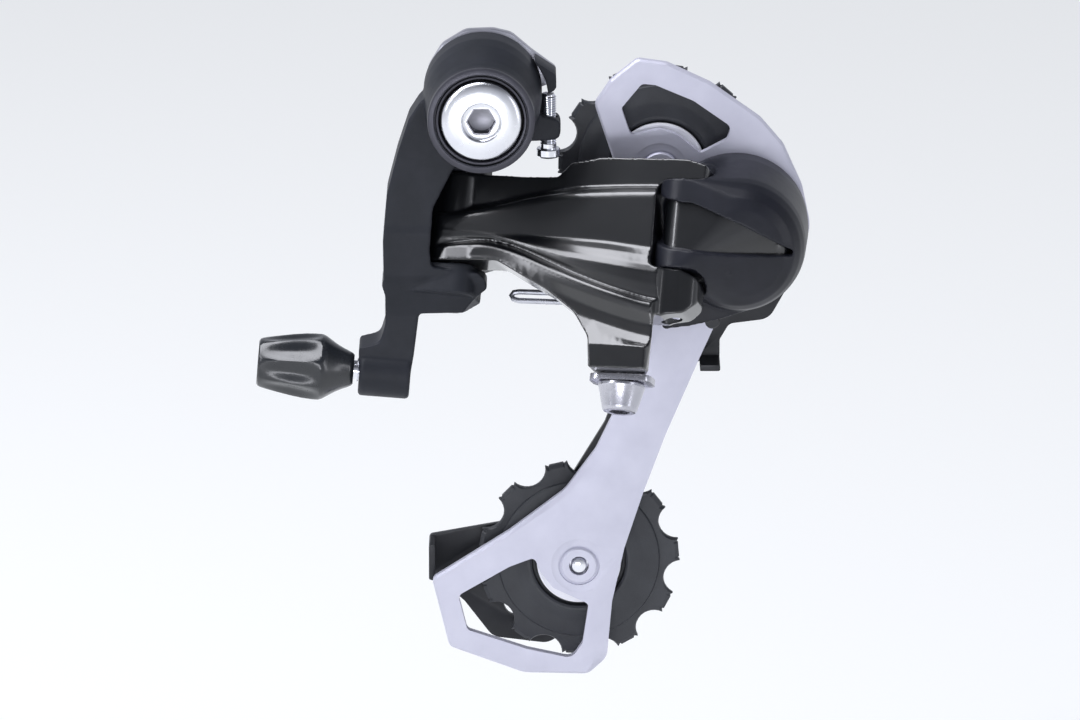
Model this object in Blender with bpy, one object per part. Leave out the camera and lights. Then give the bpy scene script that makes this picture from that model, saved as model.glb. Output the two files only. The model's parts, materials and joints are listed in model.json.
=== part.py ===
"""Rear bicycle derailleur, built as separate solids in metres.

X points to the front of the bicycle, Y points inboard to the wheel and Z points up.
The origin is on the hanger bolt's axis, in the face that seats on the frame's hanger.
"""

import math

import bmesh
import bpy
from mathutils import Matrix, Vector

MM = 0.001
GAP = 0.3
ROUND_STEPS = 28
SMALL_STEPS = 14

# Hanger bolt and B-knuckle
BOLT_FACE_Y = -25.0
BOLT_HEAD_R = 8.4
RING_R = 11.2
DRUM_R = 12.4
DRUM_CENTRE = (0.2, 1.7)
KNUCKLE_BACK_Y = -3.0
ARM_FRONT_Y = -15.0
ARM_BACK_Y = -4.5
STOPPER_T = 2.2
LIMIT_Z = (-23.2, -29.6)
LIMIT_HEAD_R = 2.3
B_SCREW_BASE = Vector((13.9, -6.6, -5.5))

# Cable adjuster
ADJUSTER_START = Vector((-15.1, -11.0, -58.2))
ADJUSTER_TILT = math.radians(4.7)
SOCKET_R = 5.3
SOCKET_L = 10.8

# Parallelogram: unit vectors along the link, towards the wheel and along the pins
PIN_DIR = Vector((0.0898, 0.4692, 0.8785)).normalized()
LINK_DIR = Vector((0.9671, -0.2517, 0.0356))
LINK_DIR = (LINK_DIR - LINK_DIR.dot(PIN_DIR) * PIN_DIR).normalized()
INWARD = PIN_DIR.cross(LINK_DIR)
LINK_ORIGIN = Vector((-5.1, -6.4, -27.5))
LINK_L = 48.0
LINK_SPACING = 10.8
INNER_SHIFT = -6.0
PIN_R = 1.9
EAR_R = 5.0
BARREL_LOW = -8.4
BARREL_HIGH = 11.0
PIN_LOW = -15.4
PIN_HIGH = 15.6
ANCHOR_ALONG = 39.0
ANCHOR_IN = -2.0

# P-knuckle
P_AXIS = (53.5, -28.5)
P_BACK_Y = 2.3
P_FRONT_Y = -24.5
P_BACK_R = 15.2
P_FRONT_R = 14.3

# Cage
GUIDE_AXIS = (37.5, -17.5)
TENSION_AXIS = (20.5, -104.8)
PLATE_Y = (2.8, 4.8)
INNER_Y = (13.2, 14.7)
WHEEL_Y = 9.0
TEETH = 11
CHAIN_PITCH = 12.7
ROLLER_R = 3.95
TIP_R = 21.5
TIP_WIDTH = 3.5
TOOTH_T = 2.2
BOLT_R = 2.4
BUSH_R = 3.6
CAP_R = 8.8
CAP_T = 0.9

COLOURS = {
    "satin_black": ((0.045, 0.047, 0.056), 0.38, 0.3),
    "gloss_black": ((0.012, 0.012, 0.015), 0.12, 0.2),
    "silver_plate": ((0.55, 0.55, 0.62), 0.42, 0.8),
    "steel": ((0.72, 0.73, 0.76), 0.22, 1.0),
    "black_steel": ((0.02, 0.02, 0.022), 0.4, 0.5),
    "pulley_plastic": ((0.055, 0.058, 0.065), 0.55, 0.0),
    "white_cap": ((0.85, 0.85, 0.88), 0.35, 0.0),
    "bush_bronze": ((0.5, 0.36, 0.18), 0.4, 0.9),
    "spring_steel": ((0.5, 0.51, 0.54), 0.3, 1.0),
    "seal_rubber": ((0.015, 0.015, 0.016), 0.7, 0.0),
}

FRONT = Matrix(((1, 0, 0, 0), (0, 0, 1, 0), (0, 1, 0, 0), (0, 0, 0, 1)))


def clear_scene():
    """Remove every object that the file opened with."""
    for obj in list(bpy.data.objects):
        bpy.data.objects.remove(obj)


def material(name):
    """Return the named finish, made once."""
    found = bpy.data.materials.get(name)
    if found:
        return found
    colour, roughness, metallic = COLOURS[name]
    mat = bpy.data.materials.new(name)
    mat.use_nodes = True
    shader = mat.node_tree.nodes["Principled BSDF"]
    shader.inputs["Base Color"].default_value = (*colour, 1.0)
    shader.inputs["Roughness"].default_value = roughness
    shader.inputs["Metallic"].default_value = metallic
    return mat


def frame_on(origin, axis, side=Vector((1, 0, 0))):
    """Return a matrix whose third column is the axis, standing at the origin."""
    third = Vector(axis).normalized()
    if abs(third.dot(side)) > 0.99:
        side = Vector((0, 0, 1))
    first = (side - side.dot(third) * third).normalized()
    second = third.cross(first)
    turn = Matrix((first, second, third)).transposed().to_4x4()
    return Matrix.Translation(Vector(origin)) @ turn


def y_axis_at(centre):
    """Return a frame whose third axis is +Y, through the centre (x, z)."""
    return frame_on((centre[0], 0, centre[1]), (0, 1, 0))


def link_frame(along=0.0, inward=0.0):
    """Return the parallelogram's frame, moved along the link and towards the wheel."""
    origin = LINK_ORIGIN + along * LINK_DIR + inward * INWARD
    return frame_on(origin, PIN_DIR, LINK_DIR)


def inner_frame(along=0.0):
    """Return the inner link's frame, moved along the link."""
    return link_frame(along + INNER_SHIFT, LINK_SPACING)


def face_frame():
    """Return a frame whose first two axes are the link and pin directions."""
    return link_frame() @ FRONT


def rounded(corners, steps=4):
    """Turn corners (x, y, radius) into an outline with arcs at the corners."""
    outline = []
    count = len(corners)
    for index, (x, y, radius) in enumerate(corners):
        here = Vector((x, y))
        if radius <= 0:
            outline.append(here)
            continue
        before = Vector(corners[index - 1][:2]) - here
        after = Vector(corners[(index + 1) % count][:2]) - here
        half = before.angle(after) / 2
        reach = min(radius / math.tan(half), 0.48 * before.length, 0.48 * after.length)
        start = here + before.normalized() * reach
        end = here + after.normalized() * reach
        for step in range(steps + 1):
            t = step / steps
            outline.append((1 - t) ** 2 * start + 2 * t * (1 - t) * here + t**2 * end)
    return outline


def circle(centre, radius, steps=SMALL_STEPS):
    """Return a round outline."""
    turn = 2 * math.pi / steps
    return [
        Vector((centre[0] + radius * math.cos(i * turn), centre[1] + radius * math.sin(i * turn)))
        for i in range(steps)
    ]


def finish(name, bm, finish_name, frame):
    """Place the mesh by the frame, in metres, and make it an object."""
    bm.transform(Matrix.Scale(MM, 4) @ frame)
    bmesh.ops.remove_doubles(bm, verts=bm.verts, dist=1e-7)
    bmesh.ops.recalc_face_normals(bm, faces=bm.faces)
    mesh = bpy.data.meshes.new(name)
    bm.to_mesh(mesh)
    bm.free()
    mesh.shade_smooth()
    mesh.set_sharp_from_angle(angle=math.radians(35))
    mesh.materials.append(material(finish_name))
    obj = bpy.data.objects.new(name, mesh)
    bpy.context.collection.objects.link(obj)
    return obj


def prism(name, outline, low, high, finish_name, frame=FRONT, holes=()):
    """Extrude an outline with holes between two heights of the frame."""
    bm = bmesh.new()
    edges = []
    for loop in (outline, *holes):
        verts = [bm.verts.new((p[0], p[1], low)) for p in loop]
        edges += [bm.edges.new((a, b)) for a, b in zip(verts, verts[1:] + verts[:1])]
    if holes:
        bmesh.ops.triangle_fill(bm, use_beauty=True, edges=edges)
    else:
        bm.faces.new([v for v in bm.verts])
    extruded = bmesh.ops.extrude_face_region(bm, geom=bm.faces[:])
    raised = [v for v in extruded["geom"] if isinstance(v, bmesh.types.BMVert)]
    bmesh.ops.translate(bm, verts=raised, vec=(0, 0, high - low))
    return finish(name, bm, finish_name, frame)


def turned(name, profile, finish_name, frame, steps=ROUND_STEPS):
    """Spin a closed profile of (radius, height) about the frame's third axis."""
    bm = bmesh.new()
    verts = [bm.verts.new((r, 0, h)) for r, h in profile]
    edges = [bm.edges.new((a, b)) for a, b in zip(verts, verts[1:] + verts[:1])]
    bmesh.ops.spin(
        bm,
        geom=verts + edges,
        cent=(0, 0, 0),
        axis=(0, 0, 1),
        angle=2 * math.pi,
        steps=steps,
        use_merge=True,
    )
    bmesh.ops.remove_doubles(bm, verts=bm.verts, dist=1e-5)
    loose = [e for e in bm.edges if not e.link_faces]
    bmesh.ops.delete(bm, geom=loose, context="EDGES")
    return finish(name, bm, finish_name, frame)


def ring(name, inner, outer, low, high, finish_name, frame, steps=ROUND_STEPS):
    """Turn a plain tube."""
    profile = [(inner, low), (outer, low), (outer, high), (inner, high)]
    return turned(name, profile, finish_name, frame, steps)


def rod(name, radius, low, high, finish_name, frame, chamfer=0.3, steps=SMALL_STEPS):
    """Turn a plain pin with chamfered ends."""
    profile = [
        (0, low),
        (radius - chamfer, low),
        (radius, low + chamfer),
        (radius, high - chamfer),
        (radius - chamfer, high),
        (0, high),
    ]
    return turned(name, profile, finish_name, frame, steps)


def hexagon(across_flats, centre=(0, 0)):
    """Return a hexagonal outline."""
    return circle(centre, across_flats / math.sqrt(3), 6)


def combine(target, tool, operation):
    """Apply a Boolean of the tool to the target and remove the tool."""
    step = target.modifiers.new(operation.lower(), "BOOLEAN")
    step.operation = operation
    step.object = tool
    bpy.context.view_layer.update()
    evaluated = target.evaluated_get(bpy.context.evaluated_depsgraph_get())
    mesh = bpy.data.meshes.new_from_object(evaluated)
    target.modifiers.clear()
    old = target.data
    target.data = mesh
    mesh.name = target.name
    bpy.data.meshes.remove(old)
    bpy.data.objects.remove(tool)
    return target


def join(target, tool):
    """Add the tool's shape to the target."""
    return combine(target, tool, "UNION")


def cut(target, tool):
    """Take the tool's shape out of the target."""
    return combine(target, tool, "DIFFERENCE")


def tube_along(name, points, radius, finish_name, sides=2):
    """Sweep a round wire along points, with closed ends."""
    curve = bpy.data.curves.new(name, "CURVE")
    curve.dimensions = "3D"
    curve.bevel_depth = radius * MM
    curve.bevel_resolution = sides
    curve.use_fill_caps = True
    spline = curve.splines.new("POLY")
    spline.points.add(len(points) - 1)
    for spot, point in zip(spline.points, points):
        spot.co = (*(Vector(point) * MM), 1)
    curve.materials.append(material(finish_name))
    obj = bpy.data.objects.new(name, curve)
    bpy.context.collection.objects.link(obj)
    return obj


def coil_points(frame, radius, low, high, turns, steps=16):
    """Return points of a helix about the frame's third axis."""
    points = []
    total = int(turns * steps)
    for i in range(total + 1):
        angle = 2 * math.pi * i / steps
        height = low + (high - low) * i / total
        points.append(frame @ Vector((radius * math.cos(angle), radius * math.sin(angle), height)))
    return points


def parent_to_axis(name, children, origin, axis):
    """Stand an empty on a joint's axis and parent the moving pieces to it."""
    empty = bpy.data.objects.new(name, None)
    empty.empty_display_size = 5 * MM
    empty.matrix_world = frame_on(Vector(origin) * MM, axis)
    bpy.context.collection.objects.link(empty)
    bpy.context.view_layer.update()
    for child in children:
        child.parent = empty
        child.matrix_parent_inverse = empty.matrix_world.inverted()
    return empty


# ---------------------------------------------------------------- hanger axle


def hanger_bolt():
    """M10 hanger bolt: wide head with a 5 mm socket, smooth axle and threaded end."""
    face = BOLT_FACE_Y
    head_back = face + 3.6
    profile = [
        (0, face + 0.9),
        (3.9, face + 0.9),
        (4.1, face + 0.3),
        (4.3, face),
        (BOLT_HEAD_R - 0.8, face + 0.25),
        (BOLT_HEAD_R, face + 0.9),
        (BOLT_HEAD_R, head_back),
        (5.5, head_back),
        (5.5, -3.7),
        (5.0, -3.7),
        (5.0, 8.4),
        (4.4, 9.0),
        (0, 9.0),
    ]
    bolt = turned("hanger_bolt", profile, "steel", y_axis_at((0, 0)))
    socket = prism("socket", hexagon(5.0), face - 1, face + 6.2, "steel")
    return cut(bolt, socket)


def stopper_plate():
    """Plate against the hanger, with the beak that the B-tension screw bears on."""
    outline = rounded([
        (-8.0, -9.0, 5), (8.5, -9.0, 5), (11.8, -2.0, 2), (11.6, 1.6, 0.6), (15.9, 2.9, 0.8),
        (15.8, 6.1, 1.2), (10.6, 9.6, 2), (6.2, 13.4, 4), (2.4, 14.3, 4), (-3.4, 14.1, 4), (-8.4, 11.0, 4), (-11.4, 6.0, 5),
        (-11.4, -2.0, 6),
    ])
    plate = prism("stopper_plate", outline, -STOPPER_T, 0.0, "black_steel",
                  holes=[circle((0, 0), 5.3, ROUND_STEPS)])
    beak = rounded([(13.6, 1.9, 0.3), (15.9, 2.9, 0.8), (15.8, 6.1, 1.2), (13.6, 7.6, 0.4)])
    return join(plate, prism("beak", beak, -9.5, -1.0, "black_steel"))


def snap_ring():
    """Retaining ring in the axle's groove."""
    return ring("snap_ring", 5.3, 7.0, -3.4, -2.5, "steel", y_axis_at((0, 0)))


# ---------------------------------------------------------------- B-knuckle


def knuckle_drum():
    """Round housing that widens towards the back, about the hanger bolt."""
    bm = bmesh.new()
    rings = []
    sections = (
        (-24.0, RING_R - 0.5, 0.0),
        (-23.5, RING_R, 0.0),
        (-17.0, RING_R, 0.1),
        (-16.0, DRUM_R - 0.6, 1.0),
        (-14.5, DRUM_R, 1.0),
        (KNUCKLE_BACK_Y, DRUM_R, 1.0),
    )
    for y, radius, shift in sections:
        centre = (DRUM_CENTRE[0] * shift, DRUM_CENTRE[1] * shift)
        verts = [bm.verts.new((p.x, p.y, y)) for p in circle(centre, radius, 36)]
        rings.append([bm.edges.new((a, b)) for a, b in zip(verts, verts[1:] + verts[:1])])
    for near, far in zip(rings, rings[1:]):
        bmesh.ops.bridge_loops(bm, edges=near + far)
    for edges in (rings[0], rings[-1]):
        bmesh.ops.contextual_create(bm, geom=edges)
    return finish("b_knuckle", bm, "satin_black", FRONT)


def knuckle_arm():
    """Arm that runs down from the housing to the adjuster socket."""
    outline = rounded([
        (-11.9, 3.0, 3), (-15.1, -2.4, 2), (-17.6, -9.5, 6), (-19.8, -18.0, 6), (-20.7, -28.0, 6),
        (-20.5, -37.0, 4), (-20.3, -46.5, 3), (-21.5, -50.6, 2), (-25.9, -51.6, 1),
        (-25.9, -56.5, 0), (-15.1, -57.6, 0), (-14.3, -53.0, 4), (-13.2, -44.3, 1.5),
        (-3.9, -44.0, 1.5), (-1.5, -40.8, 1), (1.2, -38.5, 1.5), (0.0, -35.0, 1),
        (-10.4, -33.6, 1.5), (-10.9, -30.0, 4), (-10.2, -21.0, 4), (-6.0, -12.8, 3), (4.0, -4.0, 1),
    ])
    return prism("arm", outline, ARM_FRONT_Y, ARM_BACK_Y, "satin_black")


def adjuster_frame():
    """Frame at the adjuster socket's inner end, its axis running out to the adjuster."""
    return frame_on(ADJUSTER_START, (-math.cos(ADJUSTER_TILT), 0, math.sin(ADJUSTER_TILT)), Vector((0, 0, 1)))


def knuckle_ear(low, high):
    """Ear that holds one end of both pins."""
    outline = rounded([
        (-13.5, -4.0, 2), (-3.0, -EAR_R, 3), (5.2, -EAR_R, 4), (5.2, 5.0, 4), (-1.4, LINK_SPACING + 4.6, 4),
        (-13.5, LINK_SPACING + 4.6, 4),
    ])
    return prism("ear", outline, low, high, "satin_black", link_frame())


def knuckle_web():
    """Wall behind the left ends of the links, joining the two ears."""
    outline = [Vector(p) for p in ((-13.4, -3.7), (-10.8, -3.7), (-10.8, 14.7), (-13.4, 14.7))]
    return prism("web", outline, PIN_LOW, PIN_HIGH, "satin_black", link_frame())


def b_knuckle():
    """B-knuckle: housing, arm, adjuster socket, pin ears and screw lugs in one casting."""
    body = join(knuckle_drum(), knuckle_arm())
    body = join(body, rod("socket", SOCKET_R, 0, SOCKET_L, "satin_black", adjuster_frame(), 0.5, 28))
    body = join(body, knuckle_ear(PIN_LOW + 0.3, BARREL_LOW + 0.5))
    body = join(body, knuckle_ear(BARREL_HIGH - 0.5, PIN_HIGH - 0.3))
    body = join(body, knuckle_web())
    lug = rounded([(8.0, -8.0, 1), (16.5, -7.6, 2), (16.5, -3.4, 2), (9.0, -1.5, 1)])
    body = join(body, prism("lug", lug, -10.0, KNUCKLE_BACK_Y - 0.2, "satin_black"))
    stops = rounded([(-17.6, -33.5, 1), (-17.6, -19.5, 1), (-10.6, -19.5, 1), (-10.6, -33.5, 1)])
    body = join(body, prism("stops", stops, ARM_BACK_Y - 0.8, 2.5, "satin_black"))
    axis = y_axis_at((0, 0))
    bore = [
        (0, -30), (BOLT_HEAD_R + 0.7, -30), (BOLT_HEAD_R + 0.7, -20.3), (7.1, -20.3), (7.1, -17.0),
        (9.6, -17.0), (9.6, 0), (0, 0),
    ]
    body = cut(body, turned("bore", bore, "steel", axis))
    body = cut(body, rod("screw_hole", 1.7 + GAP, -20, 12, "steel", b_screw_frame(), 0.1))
    for frame in (link_frame(), inner_frame()):
        body = cut(body, rod("pin_hole", PIN_R + GAP, -30, 30, "steel", frame, 0.1))
    for z in LIMIT_Z:
        body = cut(body, rod("limit_hole", 1.5 + GAP, -30, 12, "steel", limit_frame(z), 0.1))
        body = cut(body, rod("head_room", LIMIT_HEAD_R + GAP, 4.0 - GAP, 12, "steel", limit_frame(z), 0.1))
    neck = [(0, 2.0), (2.6 + GAP, 2.0), (2.6 + GAP, 30), (0, 30)]
    body = cut(body, turned("neck", neck, "steel", adjuster_frame(), SMALL_STEPS))
    return cut(body, link_sweep("sweep", 0))


def link_sweep(name, inward):
    """Room for the left barrels of the links and their swing."""
    outline = rounded([
        (-5.9, -5.8, 4), (16.0, -9.0, 1), (16.0, 27.0, 1), (-5.0, LINK_SPACING + 6.0, 3),
        (-11.6, LINK_SPACING + 5.0, 4), (-11.6, 7.0, 3), (-5.9, 5.0, 2),
    ])
    return prism(name, outline, BARREL_LOW - GAP, BARREL_HIGH + GAP, "steel", link_frame(0, inward))


def limit_frame(z):
    """Frame of a limit screw, its axis running forward from the head."""
    return frame_on((-14.0, -0.6, z), (-1, 0, 0))


def b_screw_frame():
    """Frame of the B-tension screw, its axis running up to the beak."""
    return frame_on(B_SCREW_BASE, (0, 0, 1))


def screw(name, radius, head_r, tip, head, frame, socket=2.0):
    """Small screw: shank to the tip, round head with a hex socket."""
    profile = [
        (0, tip), (radius - 0.4, tip), (radius, tip + 0.5 * math.copysign(1, head - tip)),
        (radius, head), (head_r, head), (head_r, head + 1.9 * math.copysign(1, head - tip)),
        (0, head + 1.9 * math.copysign(1, head - tip)),
    ]
    body = turned(name, profile, "steel", frame, SMALL_STEPS)
    ends = sorted((head + 0.6 * math.copysign(1, head - tip), head + 4 * math.copysign(1, head - tip)))
    return cut(body, prism("drive", hexagon(socket), ends[0], ends[1], "steel", frame))


def b_spring():
    """Torsion spring between the knuckle and the stopper plate."""
    points = coil_points(y_axis_at((0, 0)), 8.4, -15.9, -4.3, 3.5, 12)
    return tube_along("b_spring", points, 0.7, "spring_steel", 1)


def barrel_adjuster():
    """Fluted plastic barrel that flares out from a waist."""
    radii = ((12.0, 3.2), (12.6, 3.6), (13.6, 4.6), (16.0, 5.6), (18.5, 6.4), (20.5, 6.9), (22.5, 6.8),
             (25.0, 6.2), (29.0, 5.6), (31.5, 4.9), (32.2, 4.0))
    bm = bmesh.new()
    rings = []
    flutes = 8
    steps = flutes * 6
    for height, radius in radii:
        depth = 0.35 if 15.0 < height < 31.0 else 0.0
        verts = []
        for i in range(steps):
            angle = 2 * math.pi * i / steps
            r = radius - depth * (1 + math.cos(flutes * angle)) / 2
            verts.append(bm.verts.new((r * math.cos(angle), r * math.sin(angle), height)))
        rings.append([bm.edges.new((a, b)) for a, b in zip(verts, verts[1:] + verts[:1])])
    for near, far in zip(rings, rings[1:]):
        bmesh.ops.bridge_loops(bm, edges=near + far)
    for edges in (rings[0], rings[-1]):
        bmesh.ops.contextual_create(bm, geom=edges)
    barrel = finish("barrel_adjuster", bm, "gloss_black", adjuster_frame())
    bore = [(0, 10), (2.0 + GAP, 10), (2.0 + GAP, 27), (3.2, 27), (3.2, 40), (0, 40)]
    return cut(barrel, turned("bore", bore, "steel", adjuster_frame(), SMALL_STEPS))


def adjuster_stem():
    """Threaded hollow stem that the barrel turns on."""
    profile = [(1.2, 2.6), (2.5, 2.6), (2.5, 11.3), (2.0, 11.3), (2.0, 26.5), (1.2, 26.5)]
    return turned("adjuster_stem", profile, "steel", adjuster_frame(), SMALL_STEPS)


# ---------------------------------------------------------------- links


def link_pin(name, frame, low=PIN_LOW, high=PIN_HIGH):
    """Pivot pin of the parallelogram."""
    return rod(name, PIN_R, low, high, "steel", frame)


def outer_link():
    """Outer link: crowned panel, fork at the P-knuckle and the cable anchor tab."""
    face = rounded([
        (-5.2, BARREL_LOW, 1), (-5.2, BARREL_HIGH, 1), (20.0, 11.0, 4), (26.0, 15.0, 3), (53.4, 15.3, 1),
        (53.4, 11.0, 0.5), (42.9, 11.0, 1), (42.9, -8.7, 1), (53.4, -8.7, 0.5), (53.4, -16.4, 3),
        (49.0, -18.0, 2), (46.8, -18.4, 1), (46.0, -21.0, 2), (45.6, -31.0, 0.5), (33.2, -31.0, 0.5),
        (32.2, -24.6, 4), (28.4, -18.9, 5), (22.0, -14.2, 5), (16.5, -11.2, 5), (11.0, BARREL_LOW, 3),
    ])
    body = prism("outer_link", face, -8.0, 6.0, "gloss_black", face_frame())
    side = rounded([
        (-5.2, -5.2, 5), (10.0, -6.4, 8), (40.0, -6.6, 8), (52.9, -4.9, 4.5), (52.9, 4.9, 4.5),
        (44.0, 3.0, 3), (5.2, 3.0, 3), (3.0, 4.9, 2), (-4.9, 4.9, 4.5),
    ])
    body = combine(body, prism("side", side, -32, 20, "gloss_black", link_frame()), "INTERSECT")
    body = cut(body, rod("left_hole", PIN_R + GAP, -30, 30, "steel", link_frame(), 0.1))
    body = cut(body, rod("right_hole", PIN_R + GAP, -12, 30, "steel", link_frame(LINK_L), 0.1))
    body = cut(body, rod("lower_hole", PIN_R + GAP, -30, -5, "steel", link_frame(LINK_L), 0.1))
    anchor = link_frame(ANCHOR_ALONG, ANCHOR_IN)
    return cut(body, rod("anchor_hole", 2.1 + GAP, -45, -22, "steel", anchor, 0.1))


def inner_link():
    """Inner link: pressed bar with a barrel at each end."""
    top = BARREL_HIGH
    face = rounded([
        (-5.0, BARREL_LOW, 1), (-5.0, top, 1), (5.0, top, 1), (14.0, 4.6, 4), (52.8, 4.6, 1),
        (52.8, -5.4, 1), (14.0, -5.4, 4), (5.0, BARREL_LOW, 1),
    ])
    frame = face_frame() @ Matrix.Translation((INNER_SHIFT, 0, LINK_SPACING))
    body = prism("inner_link", face, -6.0, 6.0, "black_steel", frame)
    side = rounded([
        (-4.7, -4.7, 4.5), (3.5, -4.7, 3), (6.0, -2.2, 2), (41.0, -2.2, 2), (45.0, -4.4, 3), (52.4, -4.4, 4),
        (52.4, 4.4, 4), (45.0, 4.4, 3), (41.0, 1.6, 2), (6.0, 1.6, 2), (3.5, 4.7, 3), (-4.7, 4.7, 4.5),
    ])
    shape = prism("side", side, -20, 20, "black_steel", inner_frame())
    body = combine(body, shape, "INTERSECT")
    for along in (0, LINK_L):
        hole = rod("hole", PIN_R + GAP, -30, 30, "steel", inner_frame(along), 0.1)
        body = cut(body, hole)
    return body


def anchor_plate():
    """Cable clamp plate with a hook turned up round the tab."""
    frame = link_frame(ANCHOR_ALONG, ANCHOR_IN)
    outline = rounded([(-6.8, -3.6, 2), (8.0, -3.6, 1), (8.0, 3.6, 1), (-6.8, 3.6, 2)])
    plate = prism("anchor_plate", outline, -32.6, -31.3, "steel", frame, [circle((0, 0), 2.4)])
    hook = rounded([(7.0, -1.6, 0.4), (8.4, -1.6, 0.4), (8.4, 1.6, 0.4), (7.0, 1.6, 0.4)])
    return join(plate, prism("hook", hook, -32.4, -27.8, "steel", frame))


def anchor_bolt():
    """Tapered cable anchor bolt with a socket in its end."""
    frame = link_frame(ANCHOR_ALONG, ANCHOR_IN)
    profile = [
        (0, -38.8), (3.4, -38.8), (3.9, -38.2), (4.8, -33.6), (4.8, -32.9), (2.1, -32.9), (2.1, -22.6), (0, -22.6),
    ]
    body = turned("anchor_bolt", profile, "steel", frame, 28)
    return cut(body, prism("drive", hexagon(4.0), -40, -35.6, "steel", frame))


def return_spring():
    """Return spring: coils about the lower end of the inner pin, with a long leg."""
    frame = link_frame(LINK_L - 14.0, 5.8)
    points = coil_points(frame, 2.0, -13.4, -8.4, 2.5, 10)
    leg = [link_frame(a, 5.8) @ Vector((0, 2.0, -13.5)) for a in (7.0, 17.0, 27.0)]
    return tube_along("return_spring", leg + points[3:], 0.6, "spring_steel", 1)


# ---------------------------------------------------------------- P-knuckle


def p_knuckle():
    """P-knuckle: spring housing with the block that carries the link pins."""
    axis = y_axis_at(P_AXIS)
    shell = [
        (0, P_FRONT_Y), (6.0, P_FRONT_Y + 0.1), (10.5, P_FRONT_Y + 1.2), (13.0, P_FRONT_Y + 3.6),
        (P_FRONT_R, P_FRONT_Y + 7.5), (P_BACK_R, P_BACK_Y - 4), (P_BACK_R, P_BACK_Y), (0, P_BACK_Y),
    ]
    body = turned("p_knuckle", shell, "satin_black", axis, 36)
    block = rounded([
        (-4.0, -4.0, 3.9), (3.0, -5.6, 3), (12.0, -5.6, 3), (12.0, LINK_SPACING + 4.6, 2),
        (INNER_SHIFT - 4.4, LINK_SPACING + 4.6, 4), (INNER_SHIFT - 4.4, LINK_SPACING - 4.6, 4), (-4.6, 4.6, 3),
    ])
    body = join(body, prism("block", block, BARREL_LOW, BARREL_HIGH - GAP, "satin_black", link_frame(LINK_L)))
    skirt = rounded([
        (42.0, -24.0, 2), (40.0, -40.5, 3), (44.0, -46.0, 3), (53.9, -43.6, 6), (62.0, -38.0, 4), (58.0, -24.0, 2),
    ])
    body = join(body, prism("skirt", skirt, -15.0, P_BACK_Y - 1.0, "satin_black"))
    body = cut(body, prism("back_trim", rounded([(20, -80, 0), (90, -80, 0), (90, 20, 0), (20, 20, 0)]),
                           P_BACK_Y, 30, "steel"))
    chamber = [(0, -20.3), (5.3, -20.3), (5.3, -16.0), (9.7, -16.0), (9.7, 10), (0, 10)]
    body = cut(body, turned("chamber", chamber, "steel", axis))
    upper = rod("upper_room", 6.0, BARREL_HIGH - GAP, 40, "steel", link_frame(LINK_L), 0.1, 28)
    body = cut(body, upper)
    lower = rod("lower_room", 6.0, -40, BARREL_LOW, "steel", link_frame(LINK_L), 0.1, 28)
    body = cut(body, lower)
    slot = rounded([
        (-14.0, -1.0, 1), (-3.0, -6.4, 2), (3.0, -5.9, 3), (5.1, -3.0, 3), (5.1, 3.0, 3), (2.0, 6.2, 3), (-14.0, 8.0, 1),
    ])
    room = prism("room", slot, -5.9, 5.1, "steel", inner_frame(LINK_L))
    body = cut(body, room)
    body = cut(body, rod("hole", PIN_R + GAP, -30, 30, "steel", link_frame(LINK_L), 0.1))
    pin_room = rod("hole", PIN_R + GAP, -13.0, 11.4, "steel", inner_frame(LINK_L), 0.1)
    return cut(body, pin_room)


def p_axle():
    """P-axle: shoulder shaft fixed to the cage's outer plate."""
    back = PLATE_Y[0] - GAP
    profile = [(0, -19.8), (4.6, -19.8), (5.0, -19.3), (5.0, back), (0, back)]
    axle = turned("p_axle", profile, "steel", y_axis_at(P_AXIS))
    return cut(axle, prism("drive", hexagon(4.0, P_AXIS), back - 4, back + 2, "steel"))


def p_spring():
    """Cage tension spring inside the P-knuckle."""
    points = coil_points(y_axis_at(P_AXIS), 7.9, -15.0, 0.8, 4.0, 12)
    return tube_along("p_spring", points, 0.85, "spring_steel", 1)


def p_seal():
    """Seal ring between the P-knuckle and the cage."""
    return ring("p_seal", 8.2, 9.4, 2.0, PLATE_Y[0] - GAP, "seal_rubber", y_axis_at(P_AXIS))


# ---------------------------------------------------------------- cage


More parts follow.
